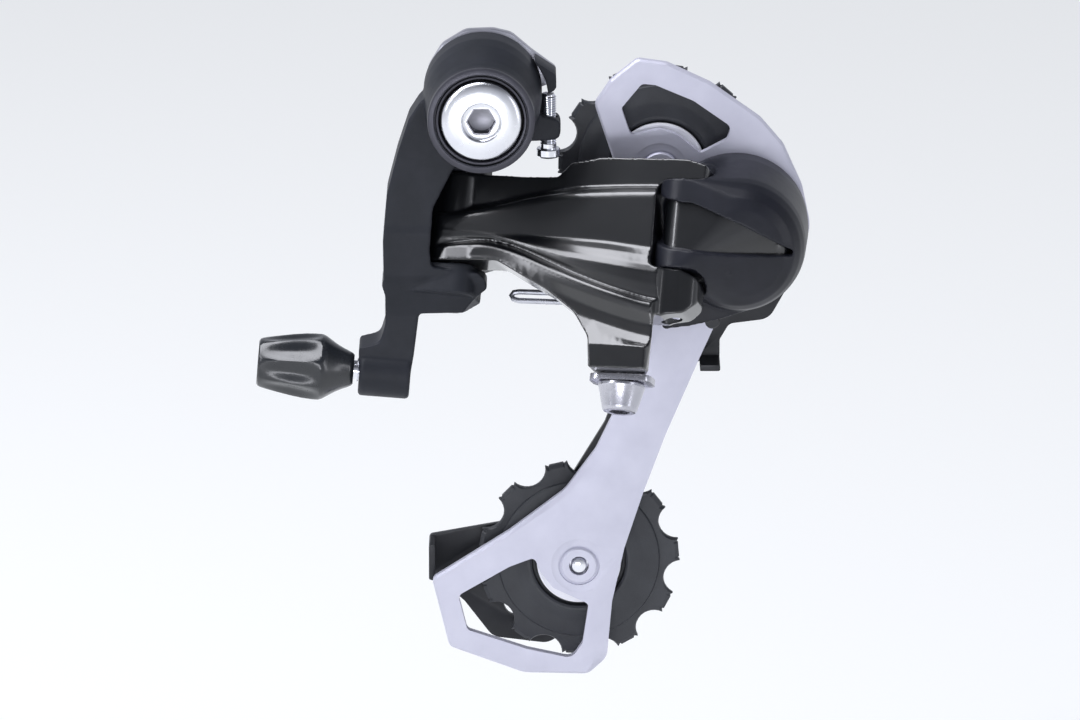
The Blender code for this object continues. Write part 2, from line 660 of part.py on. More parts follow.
def outer_plate():
    """Outer cage plate with its upper and lower windows."""
    outline = rounded([
        (27.6, -15.2, 1), (23.6, -3.1, 2), (27.0, 2.0, 2), (32.6, 6.6, 2), (38.9, 5.7, 3), (48.0, 1.4, 4),
        (58.6, -6.2, 8), (63.5, -12.0, 5), (67.5, -21.0, 8), (69.4, -30.0, 8), (65.5, -41.0, 8), (56.0, -46.5, 6),
        (49.9, -50.0, 3), (45.9, -59.1, 6), (38.8, -76.0, 8), (34.2, -88.6, 8), (30.2, -101.0, 8), (27.6, -113.0, 6),
        (26.5, -125.5, 4), (22.5, -129.2, 3), (8.7, -128.9, 8), (-7.2, -123.0, 2), (-10.9, -107.8, 1.5),
        (5.6, -97.2, 10), (17.5, -88.0, 8), (24.0, -79.0, 6), (28.5, -69.5, 8), (33.5, -56.0, 8), (38.5, -42.0, 6),
        (38.0, -33.0, 4), (33.0, -25.0, 4),
    ])
    upper = rounded([
        (29.3, -4.0, 1), (33.6, 1.3, 1.4), (36.5, 1.0, 1.5), (44.5, -2.4, 6), (52.4, -8.0, 1.6), (51.6, -10.8, 1.2),
        (46.0, -13.8, 1), (41.0, -9.7, 4), (37.5, -8.6, 3), (31.3, -10.0, 1.2),
    ])
    lower = rounded([
        (-5.3, -111.5, 1.5), (-3.4, -119.2, 1.5), (9.4, -123.5, 6), (19.0, -125.6, 2.5), (21.3, -122.2, 2),
        (22.6, -113.4, 1.2), (15.0, -109.8, 2), (12.2, -106.2, 2), (11.0, -103.0, 1.2), (5.6, -105.1, 4),
    ])
    plate = prism("outer_plate", outline, *PLATE_Y, "silver_plate", holes=[upper, lower])
    tension = y_axis_at(TENSION_AXIS)
    plate = join(plate, rod("boss", 4.0, PLATE_Y[0] - 0.5, PLATE_Y[1] - 0.5, "silver_plate", tension, 0.2, 24))
    for frame in (y_axis_at(GUIDE_AXIS), tension):
        plate = cut(plate, rod("hole", BOLT_R + GAP, -5, 10, "silver_plate", frame, 0.1))
    return plate


def inner_plate():
    """Inner cage plate with its chain guard tabs."""
    outline = rounded([
        (31.0, -14.0, 4), (34.0, -8.0, 4), (44.0, -7.0, 5), (56.0, -12.0, 6), (64.5, -24.0, 8), (67.0, -42.0, 5),
        (61.0, -52.9, 4), (52.5, -54.0, 2), (50.5, -57.5, 1), (50.5, -62.3, 0.6), (45.9, -62.3, 0.6),
        (40.0, -74.0, 5), (33.0, -92.0, 6), (29.0, -106.0, 6), (24.0, -118.0, 5), (14.0, -125.5, 4),
        (2.0, -124.0, 4), (-4.0, -116.0, 3), (-11.6, -109.0, 1), (-11.6, -101.2, 1), (6.0, -98.0, 5),
        (17.0, -91.0, 6), (26.0, -76.0, 6), (34.0, -54.0, 6), (38.5, -40.0, 5), (36.0, -30.0, 5),
    ])
    window = rounded([(2.5, -109.5, 2), (5.0, -119.0, 3), (13.0, -120.5, 2), (18.5, -113.5, 2), (11.0, -106.0, 2)])
    upper = rounded([(45.5, -15.0, 2), (54.5, -17.0, 3), (59.0, -27.0, 3), (60.5, -41.0, 3), (50.0, -46.0, 3), (46.0, -32.0, 3)])
    holes = [window, upper, circle(GUIDE_AXIS, BOLT_R + GAP), circle(TENSION_AXIS, BOLT_R + GAP)]
    plate = prism("inner_plate", outline, *INNER_Y, "black_steel", holes=holes)
    low_tab = rounded([(-11.6, -109.0, 0.5), (-10.3, -109.3, 0.3), (-10.3, -101.3, 0.3), (-11.6, -101.2, 0.5)])
    plate = join(plate, prism("low_tab", low_tab, INNER_Y[0] - 7.0, INNER_Y[0] + 0.5, "black_steel"))
    stop_tab = rounded([(46.2, -62.3, 0.3), (50.5, -62.3, 0.5), (50.5, -61.0, 0.4), (46.2, -61.0, 0.3)])
    return join(plate, prism("stop_tab", stop_tab, 5.4, INNER_Y[0] + 0.5, "black_steel"))


def stop_pin():
    """Pin on the outer plate that rests on the P-knuckle."""
    return rod("stop_pin", 1.6, -3.2, PLATE_Y[0] - GAP, "black_steel", y_axis_at((48.6, -49.0)))


def wheel_outline():
    """Toothed outline: roller seats on the pitch circle between flat tips."""
    pitch_r = CHAIN_PITCH / (2 * math.sin(math.pi / TEETH))
    half_tip = TIP_WIDTH / 2 / TIP_R
    outline = []
    for tooth in range(TEETH):
        centre = 2 * math.pi * tooth / TEETH
        seat = centre + math.pi / TEETH
        for side in (-half_tip, half_tip):
            outline.append(TIP_R * Vector((math.cos(centre + side), math.sin(centre + side))))
        middle = pitch_r * Vector((math.cos(seat), math.sin(seat)))
        for step in range(5):
            angle = seat + math.radians(250 - 140 * step / 4)
            outline.append(middle + ROLLER_R * Vector((math.cos(angle), math.sin(angle))))
    return outline


def pulley(name, centre, start_deg):
    """Jockey wheel: toothed rim, web and hub in one moulding."""
    turn = Matrix.Rotation(math.radians(start_deg), 4, "Z")
    frame = FRONT @ Matrix.Translation((centre[0], centre[1], 0)) @ turn
    teeth = [WHEEL_Y - TOOTH_T / 2, WHEEL_Y + TOOTH_T / 2]
    wheel = prism(name, wheel_outline(), *teeth, "pulley_plastic", frame, [circle((0, 0), 10.0, ROUND_STEPS)])
    bore = BUSH_R + GAP
    inner = PLATE_Y[1] + GAP + CAP_T + GAP
    outer = 2 * WHEEL_Y - inner
    profile = [
        (bore, inner), (12.0, inner), (12.6, WHEEL_Y - 1.9), (16.8, WHEEL_Y - 1.7), (17.2, WHEEL_Y - 1.2),
        (17.2, WHEEL_Y + 1.2), (16.8, WHEEL_Y + 1.7), (12.6, WHEEL_Y + 1.9), (12.0, outer), (bore, outer),
    ]
    return join(wheel, turned("hub", profile, "pulley_plastic", y_axis_at(centre)))


def pulley_set(prefix, centre, start_deg):
    """Jockey wheel with its bush, two dust caps and bolt."""
    axis = y_axis_at(centre)
    near = PLATE_Y[1] + GAP
    far = INNER_Y[0] - GAP
    wheel = pulley(prefix + "_pulley", centre, start_deg)
    ring(prefix + "_bush", BOLT_R + GAP, BUSH_R, near, far, "bush_bronze", axis, SMALL_STEPS)
    ring(prefix + "_cap_outer", BUSH_R + GAP, CAP_R, near, near + CAP_T, "white_cap", axis)
    ring(prefix + "_cap_inner", BUSH_R + GAP, CAP_R, far - CAP_T, far, "white_cap", axis)
    head = INNER_Y[1] + GAP
    profile = [
        (0, PLATE_Y[0] - 0.4), (BOLT_R - 0.5, PLATE_Y[0] - 0.4), (BOLT_R, PLATE_Y[0] + 0.1), (BOLT_R, head),
        (4.2, head), (4.2, head + 1.6), (3.7, head + 2.2), (0, head + 2.2),
    ]
    bolt = turned(prefix + "_bolt", profile, "steel", axis, SMALL_STEPS)
    cut(bolt, prism("drive", hexagon(3.0, centre), head, head + 5, "steel"))
    return wheel


# ---------------------------------------------------------------- assembly


def stand_on_axes():
    """Parent the pieces of each moving body to an empty on its joint's axis."""
    adjuster_axis = (-math.cos(ADJUSTER_TILT), 0, math.sin(ADJUSTER_TILT))
    cage_pieces = ["p_axle", "outer_plate", "inner_plate", "stop_pin"]
    for prefix in ("guide", "tension"):
        cage_pieces += [f"{prefix}_{piece}" for piece in ("bush", "cap_outer", "cap_inner", "bolt")]
    knuckle_pieces = ["b_knuckle", "b_seal", "b_bush", "b_spring", "adjuster_stem", "outer_pin_b", "inner_pin_b"]
    bodies = (
        ("b_pivot_axis", knuckle_pieces, (0, 0, 0), (0, 1, 0)),
        ("b_tension_screw_axis", ["b_tension_screw"], B_SCREW_BASE, (0, 0, 1)),
        ("high_limit_screw_axis", ["high_limit_screw"], limit_frame(LIMIT_Z[0]).translation, (1, 0, 0)),
        ("low_limit_screw_axis", ["low_limit_screw"], limit_frame(LIMIT_Z[1]).translation, (1, 0, 0)),
        ("adjuster_axis", ["barrel_adjuster"], ADJUSTER_START, adjuster_axis),
        ("outer_link_axis", ["outer_link", "outer_pin_p", "return_spring"], LINK_ORIGIN, PIN_DIR),
        ("anchor_axis", ["anchor_bolt", "anchor_plate"], link_frame(ANCHOR_ALONG, ANCHOR_IN).translation, PIN_DIR),
        ("inner_link_axis", ["inner_link"], inner_frame().translation, PIN_DIR),
        ("p_knuckle_axis", ["p_knuckle", "inner_pin_p", "p_spring", "p_seal"], link_frame(LINK_L).translation, PIN_DIR),
        ("cage_axis", cage_pieces, (P_AXIS[0], 0, P_AXIS[1]), (0, 1, 0)),
        ("guide_axis", ["guide_pulley"], (GUIDE_AXIS[0], 0, GUIDE_AXIS[1]), (0, 1, 0)),
        ("tension_axis", ["tension_pulley"], (TENSION_AXIS[0], 0, TENSION_AXIS[1]), (0, 1, 0)),
    )
    for name, pieces, origin, axis in bodies:
        parent_to_axis(name, [bpy.data.objects[piece] for piece in pieces], origin, axis)


def build():
    """Build every piece and stand the moving ones on their axes."""
    clear_scene()
    hanger_bolt()
    stopper_plate()
    snap_ring()
    b_knuckle()
    axis = y_axis_at((0, 0))
    ring("b_seal", 7.4, BOLT_HEAD_R + 0.4, -21.1, -20.6, "seal_rubber", axis)
    ring("b_bush", 5.8, 6.8, -20.2, -3.8, "bush_bronze", axis)
    b_spring()
    screw("b_tension_screw", 1.7, 2.5, 7.2, -4.6, b_screw_frame())
    for name, z in zip(("high_limit_screw", "low_limit_screw"), LIMIT_Z):
        screw(name, 1.5, LIMIT_HEAD_R, -2.6, 4.0, limit_frame(z))
    link_pin("outer_pin_b", link_frame())
    link_pin("inner_pin_b", inner_frame())
    link_pin("outer_pin_p", link_frame(LINK_L))
    link_pin("inner_pin_p", inner_frame(LINK_L), -12.6, 11.0)
    barrel_adjuster()
    adjuster_stem()
    outer_link()
    anchor_plate()
    inner_link()
    anchor_bolt()
    return_spring()
    p_knuckle()
    p_axle()
    p_spring()
    p_seal()
    outer_plate()
    inner_plate()
    stop_pin()
    pulley_set("guide", GUIDE_AXIS, 145.3)
    pulley_set("tension", TENSION_AXIS, 103.2)
    stand_on_axes()


build()
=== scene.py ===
"""Rear bicycle derailleur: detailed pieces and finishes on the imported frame.

Sizes are in millimetres. X points to the front of the bicycle, Y inboard to the wheel and Z up.
"""

import json
import logging
import math
from collections.abc import Sequence
from dataclasses import dataclass, field
from enum import Enum

import bmesh
import bpy
from mathutils import Matrix, Vector


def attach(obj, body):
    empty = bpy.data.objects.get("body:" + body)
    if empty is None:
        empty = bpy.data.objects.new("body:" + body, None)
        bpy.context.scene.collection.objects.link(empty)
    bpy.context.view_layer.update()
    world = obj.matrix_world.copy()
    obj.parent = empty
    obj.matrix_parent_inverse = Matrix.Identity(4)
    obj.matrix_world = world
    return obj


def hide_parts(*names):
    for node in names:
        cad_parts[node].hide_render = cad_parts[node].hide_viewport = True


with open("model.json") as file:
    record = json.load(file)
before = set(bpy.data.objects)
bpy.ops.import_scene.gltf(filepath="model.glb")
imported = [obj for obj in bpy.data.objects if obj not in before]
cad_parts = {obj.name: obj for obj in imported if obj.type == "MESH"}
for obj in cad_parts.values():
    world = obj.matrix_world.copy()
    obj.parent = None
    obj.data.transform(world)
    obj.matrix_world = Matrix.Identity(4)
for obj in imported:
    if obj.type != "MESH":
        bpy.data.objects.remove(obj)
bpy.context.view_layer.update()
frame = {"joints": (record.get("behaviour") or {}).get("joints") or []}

LOG = logging.getLogger("derailleur")
MM = 0.001
ROUND = 96
SMALL_ROUND = 48
GAP = 0.3
PIN_RADIUS = 1.9
PIN_HOLE = PIN_RADIUS + GAP
BARREL_LOW = -8.4
BARREL_HIGH = 11.0
THROUGH = 30.0

Pair = tuple[float, float]
Corner = tuple[float, float, float]
Colour = tuple[float, float, float]
Thing = bpy.types.Object


# ---------------------------------------------------------------- finishes


@dataclass(frozen=True)
class Surface:
    """A finish with mottled colour, uneven gloss and a fine grain.

    Sizes of the mottling and the grain are in marks for each metre, and the depth in millimetres. Blotches gives
    where the shade ends and the tint starts, and smears how much finer the uneven gloss is than the mottling.
    """

    slot: str
    tint: Colour
    shade: Colour
    metallic: float
    roughness: float
    spread: float = 0.05
    mottle: float = 180.0
    grain: float = 3500.0
    depth: float = 0.02
    coat: float = 0.0
    coat_roughness: float = 0.08
    specular: float = 0.5
    stretch: Colour = (1.0, 1.0, 1.0)
    blotches: Pair = (0.3, 0.7)
    smears: float = 3.1
    strength: float = 0.5

    def material(self, name: str) -> bpy.types.Material:
        """Return the finish as a material, made once.

        Args:
            name: Name of the material.

        Returns:
            The material with its nodes linked.
        """
        found = bpy.data.materials.get(name)
        if found:
            return found
        material = bpy.data.materials.new(name)
        material.use_nodes = True
        tree = material.node_tree
        shader = tree.nodes["Principled BSDF"]
        shader.inputs["Metallic"].default_value = self.metallic
        shader.inputs["Specular IOR Level"].default_value = self.specular
        shader.inputs["Coat Weight"].default_value = self.coat
        shader.inputs["Coat Roughness"].default_value = self.coat_roughness
        place = tree.nodes.new("ShaderNodeTexCoord")
        mapping = tree.nodes.new("ShaderNodeMapping")
        mapping.inputs["Scale"].default_value = self.stretch
        tree.links.new(place.outputs["Object"], mapping.inputs["Vector"])
        blotches = self.noise(tree, mapping, self.mottle, 4.0)
        colours = tree.nodes.new("ShaderNodeValToRGB")
        for mark, position, colour in zip(colours.color_ramp.elements, self.blotches, (self.shade, self.tint)):
            mark.position = position
            mark.color = (*colour, 1.0)
        tree.links.new(blotches.outputs["Fac"], colours.inputs["Fac"])
        tree.links.new(colours.outputs["Color"], shader.inputs["Base Color"])
        smears = self.noise(tree, mapping, self.mottle * self.smears, 3.0)
        gloss = tree.nodes.new("ShaderNodeMapRange")
        gloss.inputs["To Min"].default_value = max(self.roughness - self.spread, 0.02)
        gloss.inputs["To Max"].default_value = self.roughness + self.spread
        tree.links.new(smears.outputs["Fac"], gloss.inputs["Value"])
        tree.links.new(gloss.outputs["Result"], shader.inputs["Roughness"])
        self.relief(tree, mapping, shader)
        return material

    def noise(
        self, tree: bpy.types.NodeTree, mapping: bpy.types.Node, scale: float, detail: float
    ) -> bpy.types.Node:
        """Add a noise texture.

        Args:
            tree: The material's node tree.
            mapping: Node that gives the coordinates.
            scale: Marks for each metre.
            detail: Octaves of finer noise.

        Returns:
            The noise node.
        """
        noise = tree.nodes.new("ShaderNodeTexNoise")
        noise.inputs["Scale"].default_value = scale
        noise.inputs["Detail"].default_value = detail
        tree.links.new(mapping.outputs["Vector"], noise.inputs["Vector"])
        return noise

    def relief(
        self, tree: bpy.types.NodeTree, mapping: bpy.types.Node, shader: bpy.types.Node
    ) -> None:
        """Add the grain to the shader's normal.

        Args:
            tree: The material's node tree.
            mapping: Node that gives the coordinates.
            shader: The material's shader.
        """
        grain = self.noise(tree, mapping, self.grain, 2.0)
        bump = tree.nodes.new("ShaderNodeBump")
        bump.inputs["Strength"].default_value = self.strength
        bump.inputs["Distance"].default_value = self.depth * MM
        tree.links.new(grain.outputs["Fac"], bump.inputs["Height"])
        tree.links.new(bump.outputs["Normal"], shader.inputs["Normal"])


@dataclass(frozen=True)
class LatheSurface(Surface):
    """A finish with fine turned rings about an axis along Y."""

    strength: float = 0.35
    centre: Pair = (0.0, 0.0)
    pitch: float = 0.12
    wobble: float = 1.5

    def relief(
        self, tree: bpy.types.NodeTree, mapping: bpy.types.Node, shader: bpy.types.Node
    ) -> None:
        """Add the turned rings to the shader's normal.

        Args:
            tree: The material's node tree.
            mapping: Node that gives the coordinates, moved here to the rings' centre.
            shader: The material's shader.
        """
        mapping.inputs["Location"].default_value = (-self.centre[0] * MM, 0.0, -self.centre[1] * MM)
        rings = tree.nodes.new("ShaderNodeTexWave")
        rings.wave_type = "RINGS"
        rings.rings_direction = "Y"
        rings.inputs["Scale"].default_value = 1.0 / (20.0 * self.pitch * MM)
        rings.inputs["Distortion"].default_value = self.wobble
        rings.inputs["Detail"].default_value = 2.0
        tree.links.new(mapping.outputs["Vector"], rings.inputs["Vector"])
        bump = tree.nodes.new("ShaderNodeBump")
        bump.inputs["Strength"].default_value = self.strength
        bump.inputs["Distance"].default_value = self.depth * MM
        tree.links.new(rings.outputs["Fac"], bump.inputs["Height"])
        tree.links.new(bump.outputs["Normal"], shader.inputs["Normal"])


class Finish(Enum):
    """The finishes of the derailleur's pieces."""

    TURNED_STEEL = LatheSurface(
        "polished_steel", (0.86, 0.87, 0.90), (0.76, 0.77, 0.82),
        metallic=1.0, roughness=0.26, depth=0.006,
    )
    PLATED_STEEL = Surface(
        "polished_steel", (0.80, 0.81, 0.85), (0.66, 0.67, 0.72),
        metallic=1.0, roughness=0.24, depth=0.01,
    )
    CHROME = Surface(
        "chrome", (0.88, 0.89, 0.93), (0.78, 0.79, 0.84),
        metallic=1.0, roughness=0.12, spread=0.04, depth=0.006,
    )
    ZINC = Surface(
        "black_steel", (0.62, 0.62, 0.68), (0.5, 0.5, 0.56),
        metallic=1.0, roughness=0.34, depth=0.015,
    )
    # Socket lining: broached steel with a rougher gloss, tinted far darker than the bolt as painted shade in the
    # recess.
    BROACHED = Surface(
        "polished_steel", (0.30, 0.30, 0.33), (0.2, 0.2, 0.23),
        metallic=1.0, roughness=0.36, depth=0.02,
    )
    ANCHOR_STEEL = Surface(
        "chrome", (0.60, 0.60, 0.65), (0.48, 0.48, 0.53),
        metallic=1.0, roughness=0.27, depth=0.012,
    )
    BLACK_STEEL = Surface(
        "black_steel", (0.026, 0.027, 0.031), (0.015, 0.016, 0.019),
        metallic=0.3, roughness=0.4, depth=0.02,
    )
    SPRING = Surface(
        "spring_steel", (0.62, 0.63, 0.68), (0.46, 0.47, 0.52),
        metallic=1.0, roughness=0.28, depth=0.015,
    )
    SATIN_BLACK = Surface(
        "satin_black", (0.021, 0.023, 0.030), (0.015, 0.017, 0.022),
        metallic=0.0, roughness=0.5, depth=0.025, specular=0.22,
    )
    FACED_BLACK = LatheSurface(
        "satin_black", (0.07, 0.07, 0.085), (0.05, 0.05, 0.062),
        metallic=0.5, roughness=0.34, depth=0.012, specular=0.4,
    )
    GLOSS_BLACK = Surface(
        "gloss_black", (0.004, 0.0045, 0.006), (0.0025, 0.003, 0.004),
        metallic=0.0, roughness=0.3, spread=0.03, depth=0.006, coat=1.0, coat_roughness=0.15, specular=0.5,
    )
    KNUCKLE_BLACK = Surface(
        "satin_black", (0.014, 0.015, 0.022), (0.010, 0.011, 0.016),
        metallic=0.0, roughness=0.4, spread=0.04, depth=0.012, specular=0.32,
    )
    SILVER = Surface(
        "silver_plate", (0.62, 0.62, 0.72), (0.57, 0.57, 0.67),
        metallic=0.35, roughness=0.5, spread=0.04, depth=0.018, grain=5200.0,
    )
    WHEEL = Surface(
        "pulley_plastic", (0.036, 0.039, 0.046), (0.026, 0.028, 0.034),
        metallic=0.0, roughness=0.5, spread=0.06, depth=0.05, grain=2600.0,
    )
    CAP = Surface(
        "cap_plastic", (0.86, 0.86, 0.9), (0.8, 0.8, 0.85),
        metallic=0.0, roughness=0.34, spread=0.05, depth=0.01,
    )
    BARREL = Surface(
        "gloss_plastic", (0.016, 0.018, 0.022), (0.011, 0.013, 0.016),
        metallic=0.0, roughness=0.26, spread=0.05, depth=0.02, coat=0.4, coat_roughness=0.15,
    )
    BRONZE = Surface(
        "bronze", (0.55, 0.38, 0.18), (0.42, 0.28, 0.13),
        metallic=1.0, roughness=0.38, depth=0.02,
    )
    RUBBER = Surface(
        "rubber", (0.018, 0.018, 0.02), (0.012, 0.012, 0.013),
        metallic=0.0, roughness=0.7, spread=0.08, depth=0.04,
    )


# ---------------------------------------------------------------- places


def frame_on(origin: Vector, axis: Vector, side: Vector = Vector((1, 0, 0))) -> Matrix:
    """Stand a frame on an axis.

    Args:
        origin: Place of the frame in millimetres.
        axis: Direction of the third axis.
        side: Direction near the first axis.

    Returns:
        The frame's matrix.
    """
    third = Vector(axis).normalized()
    if abs(third.dot(side)) > 0.99:
        side = Vector((0, 0, 1))
    first = (side - side.dot(third) * third).normalized()
    turn = Matrix((first, third.cross(first), third)).transposed().to_4x4()
    return Matrix.Translation(Vector(origin)) @ turn


@dataclass(frozen=True)
class Layout:
    """Where the joints' axes are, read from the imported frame."""

    joints: dict[str, dict]
    front: Matrix = field(default_factory=lambda: Matrix(((1, 0, 0, 0), (0, 0, 1, 0), (0, 1, 0, 0), (0, 0, 0, 1))))

    def point(self, joint: str) -> Vector:
        """Return a joint's place in millimetres."""
        return Vector(self.joints[joint]["pos_m"]) / MM

    def axis(self, joint: str) -> Vector:
        """Return the direction of a joint's axis."""
        return Vector(self.joints[joint]["axis"]).normalized()

    @property
    def pin(self) -> Vector:
        """Return the direction of the four link pins."""
        return self.axis("outer_link_pivot")

    @property
    def along(self) -> Vector:
        """Return the direction from the upper knuckle to the lower one."""
        return (self.point("p_knuckle_pivot") - self.point("outer_link_pivot")).normalized()

    @property
    def inward(self) -> Vector:
        """Return the direction from the outer link to the wheel."""
        return self.pin.cross(self.along)

    @property
    def length(self) -> float:
        """Return the distance between the pins of one link."""
        return (self.point("p_knuckle_pivot") - self.point("outer_link_pivot")).length

    def link(self, along: float = 0.0, inward: float = 0.0) -> Matrix:
        """Stand a frame on the outer link's first pin.

        Args:
            along: Distance moved along the link.
            inward: Distance moved towards the wheel.

        Returns:
            Frame with its first axis along the link and its third along the pin.
        """
        origin = self.point("outer_link_pivot") + along * self.along + inward * self.inward
        return frame_on(origin, self.pin, self.along)

    def face(self, along: float = 0.0, inward: float = 0.0) -> Matrix:
        """Return the same frame with its second axis along the pin and its third towards the wheel."""
        return self.link(along, inward) @ self.front

    @property
    def inner_shift(self) -> Pair:
        """Return how far the inner link's first pin is from the outer link's, along and inward."""
        step = self.point("inner_link_pivot") - self.point("outer_link_pivot")
        return step.dot(self.along), step.dot(self.inward)

    @property
    def anchor(self) -> Matrix:
        """Return the frame of the cable anchor's bolt, under the outer link's tab."""
        return self.link(39.0, -2.0)

    def inner(self, along: float = 0.0) -> Matrix:
        """Return the inner link's frame, moved along it."""
        shift = self.inner_shift
        return self.link(shift[0] + along, shift[1])

    def upright(self, joint: str) -> Matrix:
        """Return a frame on a joint's place with its third axis along +Y."""
        place = self.point(joint)
        return frame_on(Vector((place.x, 0, place.z)), Vector((0, 1, 0)))

    @property
    def cage_axis(self) -> Matrix:
        """Return the frame on the cage's pivot."""
        return self.upright("cage_pivot")

    def centre(self, joint: str) -> Pair:
        """Return a joint's place seen from the front."""
        place = self.point(joint)
        return place.x, place.z


HANGER_AXIS = frame_on(Vector((0, 0, 0)), Vector((0, 1, 0)))


# ---------------------------------------------------------------- modelling


def deselect() -> None:
    """Leave edit mode and select nothing."""
    if bpy.context.mode != "OBJECT":
        bpy.ops.object.mode_set(mode="OBJECT")
    bpy.ops.object.select_all(action="DESELECT")


def pick(obj: Thing) -> None:
    """Select one object and make it active."""
    deselect()
    obj.select_set(True)
    bpy.context.view_layer.objects.active = obj


def rounded(corners: Sequence[Corner], steps: int = 8) -> list[Vector]:
    """Turn corners into an outline with arcs.

    Args:
        corners: Corners as (x, y, radius).
        steps: Sides of each arc.

    Returns:
        The outline's points.
    """
    outline: list[Vector] = []
    for index, (x, y, radius) in enumerate(corners):
        here = Vector((x, y))
        if radius <= 0:
            outline.append(here)
            continue
        before = Vector(corners[index - 1][:2]) - here
        after = Vector(corners[(index + 1) % len(corners)][:2]) - here
        half = before.angle(after) / 2
        reach = min(radius / math.tan(half), 0.48 * before.length, 0.48 * after.length)
        start = here + before.normalized() * reach
        end = here + after.normalized() * reach
        for step in range(steps + 1):
            t = step / steps
            outline.append((1 - t) ** 2 * start + 2 * t * (1 - t) * here + t**2 * end)
    return outline


def circle(centre: Pair, radius: float, steps: int = SMALL_ROUND) -> list[Vector]:
    """Return a round outline."""
    turns = [2 * math.pi * step / steps for step in range(steps)]
    return [Vector((centre[0] + radius * math.cos(t), centre[1] + radius * math.sin(t))) for t in turns]


def hexagon(across_flats: float, centre: Pair = (0.0, 0.0)) -> list[Vector]:
    """Return a hexagonal outline."""
    return circle(centre, across_flats / math.sqrt(3), 6)


def between(knots: Sequence[Pair], here: float) -> float:
    """Read a smooth row of values.

    Args:
        knots: Pairs of place and value, in order.
        here: The place to read.

    Returns:
        The value there, eased between the knots.
    """
    if here <= knots[0][0]:
        return knots[0][1]
    slopes = [(high - low) / (b - a) for (a, low), (b, high) in zip(knots, knots[1:])]
    slopes = [slopes[0], *slopes, slopes[-1]]
    for index, ((a, low), (b, high)) in enumerate(zip(knots, knots[1:])):
        if here <= b:
            t = (here - a) / (b - a)
            rise_in = (slopes[index] + slopes[index + 1]) / 2 * (b - a)
            rise_out = (slopes[index + 1] + slopes[index + 2]) / 2 * (b - a)
            back = 1 - t
            return (low * back * back * (1 + 2 * t) + high * t * t * (3 - 2 * t)
                    + rise_in * t * back * back - rise_out * t * t * back)
    return knots[-1][1]


def settle(obj: Thing, place: Matrix) -> Thing:
    """Put a piece in its place in metres, with its faces outwards and its object at the origin.

    Args:
        obj: The piece, in millimetres.
        place: The frame it was drawn in.

    Returns:
        The same piece.
    """
    pick(obj)
    obj.data.transform(Matrix.Scale(MM, 4) @ place)
    bpy.ops.object.mode_set(mode="EDIT")
    bpy.ops.mesh.select_all(action="SELECT")
    bpy.ops.mesh.normals_make_consistent(inside=False)
    bpy.ops.object.mode_set(mode="OBJECT")
    return obj


def blank(name: str, count: int, filled: bool) -> Thing:
    """Add a round blank to be shaped.

    Args:
        name: Name of the piece.
        count: Number of its corners.
        filled: Whether it has a face.

    Returns:
        The new object.
    """
    deselect()
    bpy.ops.mesh.primitive_circle_add(vertices=count, radius=1.0, fill_type="NGON" if filled else "NOTHING")
    obj = bpy.context.active_object
    obj.name = name
    obj.data.name = name
    return obj


def loft(name: str, sections: Sequence[Sequence[Vector]], place: Matrix) -> Thing:
    """Extrude a closed outline through a row of sections.

    Args:
        name: Name of the piece.
        sections: Outlines with as many points each.
        place: The frame they are drawn in.

    Returns:
        The closed piece.
    """
    obj = blank(name, len(sections[0]), True)
    for vertex, spot in zip(obj.data.vertices, sections[0]):
        vertex.co = spot
    bpy.ops.object.mode_set(mode="EDIT")
    bpy.ops.mesh.select_all(action="SELECT")
    before = sections[0]
    for section in sections[1:]:
        bpy.ops.mesh.extrude_region_move(TRANSFORM_OT_translate={"value": (0, 0, 0)})
        mesh = bmesh.from_edit_mesh(obj.data)
        places = {tuple(round(c, 4) for c in old): new for old, new in zip(before, section)}
        for vertex in [v for v in mesh.verts if v.select]:
            vertex.co = places[tuple(round(c, 4) for c in vertex.co)]
        bmesh.update_edit_mesh(obj.data)
        before = section
    bpy.ops.object.mode_set(mode="OBJECT")
    return settle(obj, place)


def prism(
    name: str, outline: Sequence[Vector], low: float, high: float, place: Matrix, holes: Sequence[Sequence[Vector]] = ()
) -> Thing:
    """Extrude an outline between two heights and cut holes through it.

    Args:
        name: Name of the piece.
        outline: The outline's points.
        low: Lower height.
        high: Upper height.
        place: The frame it is drawn in.
        holes: Outlines of the holes.

    Returns:
        The closed piece.
    """
    obj = loft(name, [[Vector((p[0], p[1], h)) for p in outline] for h in (low, high)], place)
    for hole in holes:
        obj = cut(obj, prism("hole", hole, low - 1, high + 1, place))
    return obj


def turned(name: str, profile: Sequence[Pair], place: Matrix, steps: int = ROUND) -> Thing:
    """Spin a closed profile about the frame's third axis.

    Args:
        name: Name of the piece.
        profile: Points as (radius, height).
        place: The frame it is drawn in.
        steps: Sides of the round.

    Returns:
        The closed piece.
    """
    obj = blank(name, len(profile), False)
    for vertex, (radius, height) in zip(obj.data.vertices, profile):
        vertex.co = (radius, 0, height)
    bpy.ops.object.mode_set(mode="EDIT")
    bpy.ops.mesh.select_all(action="SELECT")
    bpy.ops.mesh.spin(steps=steps, angle=2 * math.pi, center=(0, 0, 0), axis=(0, 0, 1))
    bpy.ops.mesh.select_all(action="SELECT")
    bpy.ops.mesh.remove_doubles(threshold=0.0005)
    bpy.ops.mesh.select_all(action="SELECT")
    bpy.ops.mesh.delete_loose(use_verts=True, use_edges=True, use_faces=False)
    bpy.ops.object.mode_set(mode="OBJECT")
    return settle(obj, place)


def rod(name: str, radius: float, low: float, high: float, place: Matrix, chamfer: float = 0.3,
        steps: int = SMALL_ROUND) -> Thing:
    """Turn a pin with chamfered ends.

    Args:
        name: Name of the piece.
        radius: Its radius.
        low: Its lower end.
        high: Its upper end.
        place: The frame it is drawn in.
        chamfer: Size of the chamfers.
        steps: Sides of the round.

    Returns:
        The closed piece.
    """
    profile = [
        (0, low), (radius - chamfer, low), (radius, low + chamfer),
        (radius, high - chamfer), (radius - chamfer, high), (0, high),
    ]
    return turned(name, profile, place, steps)


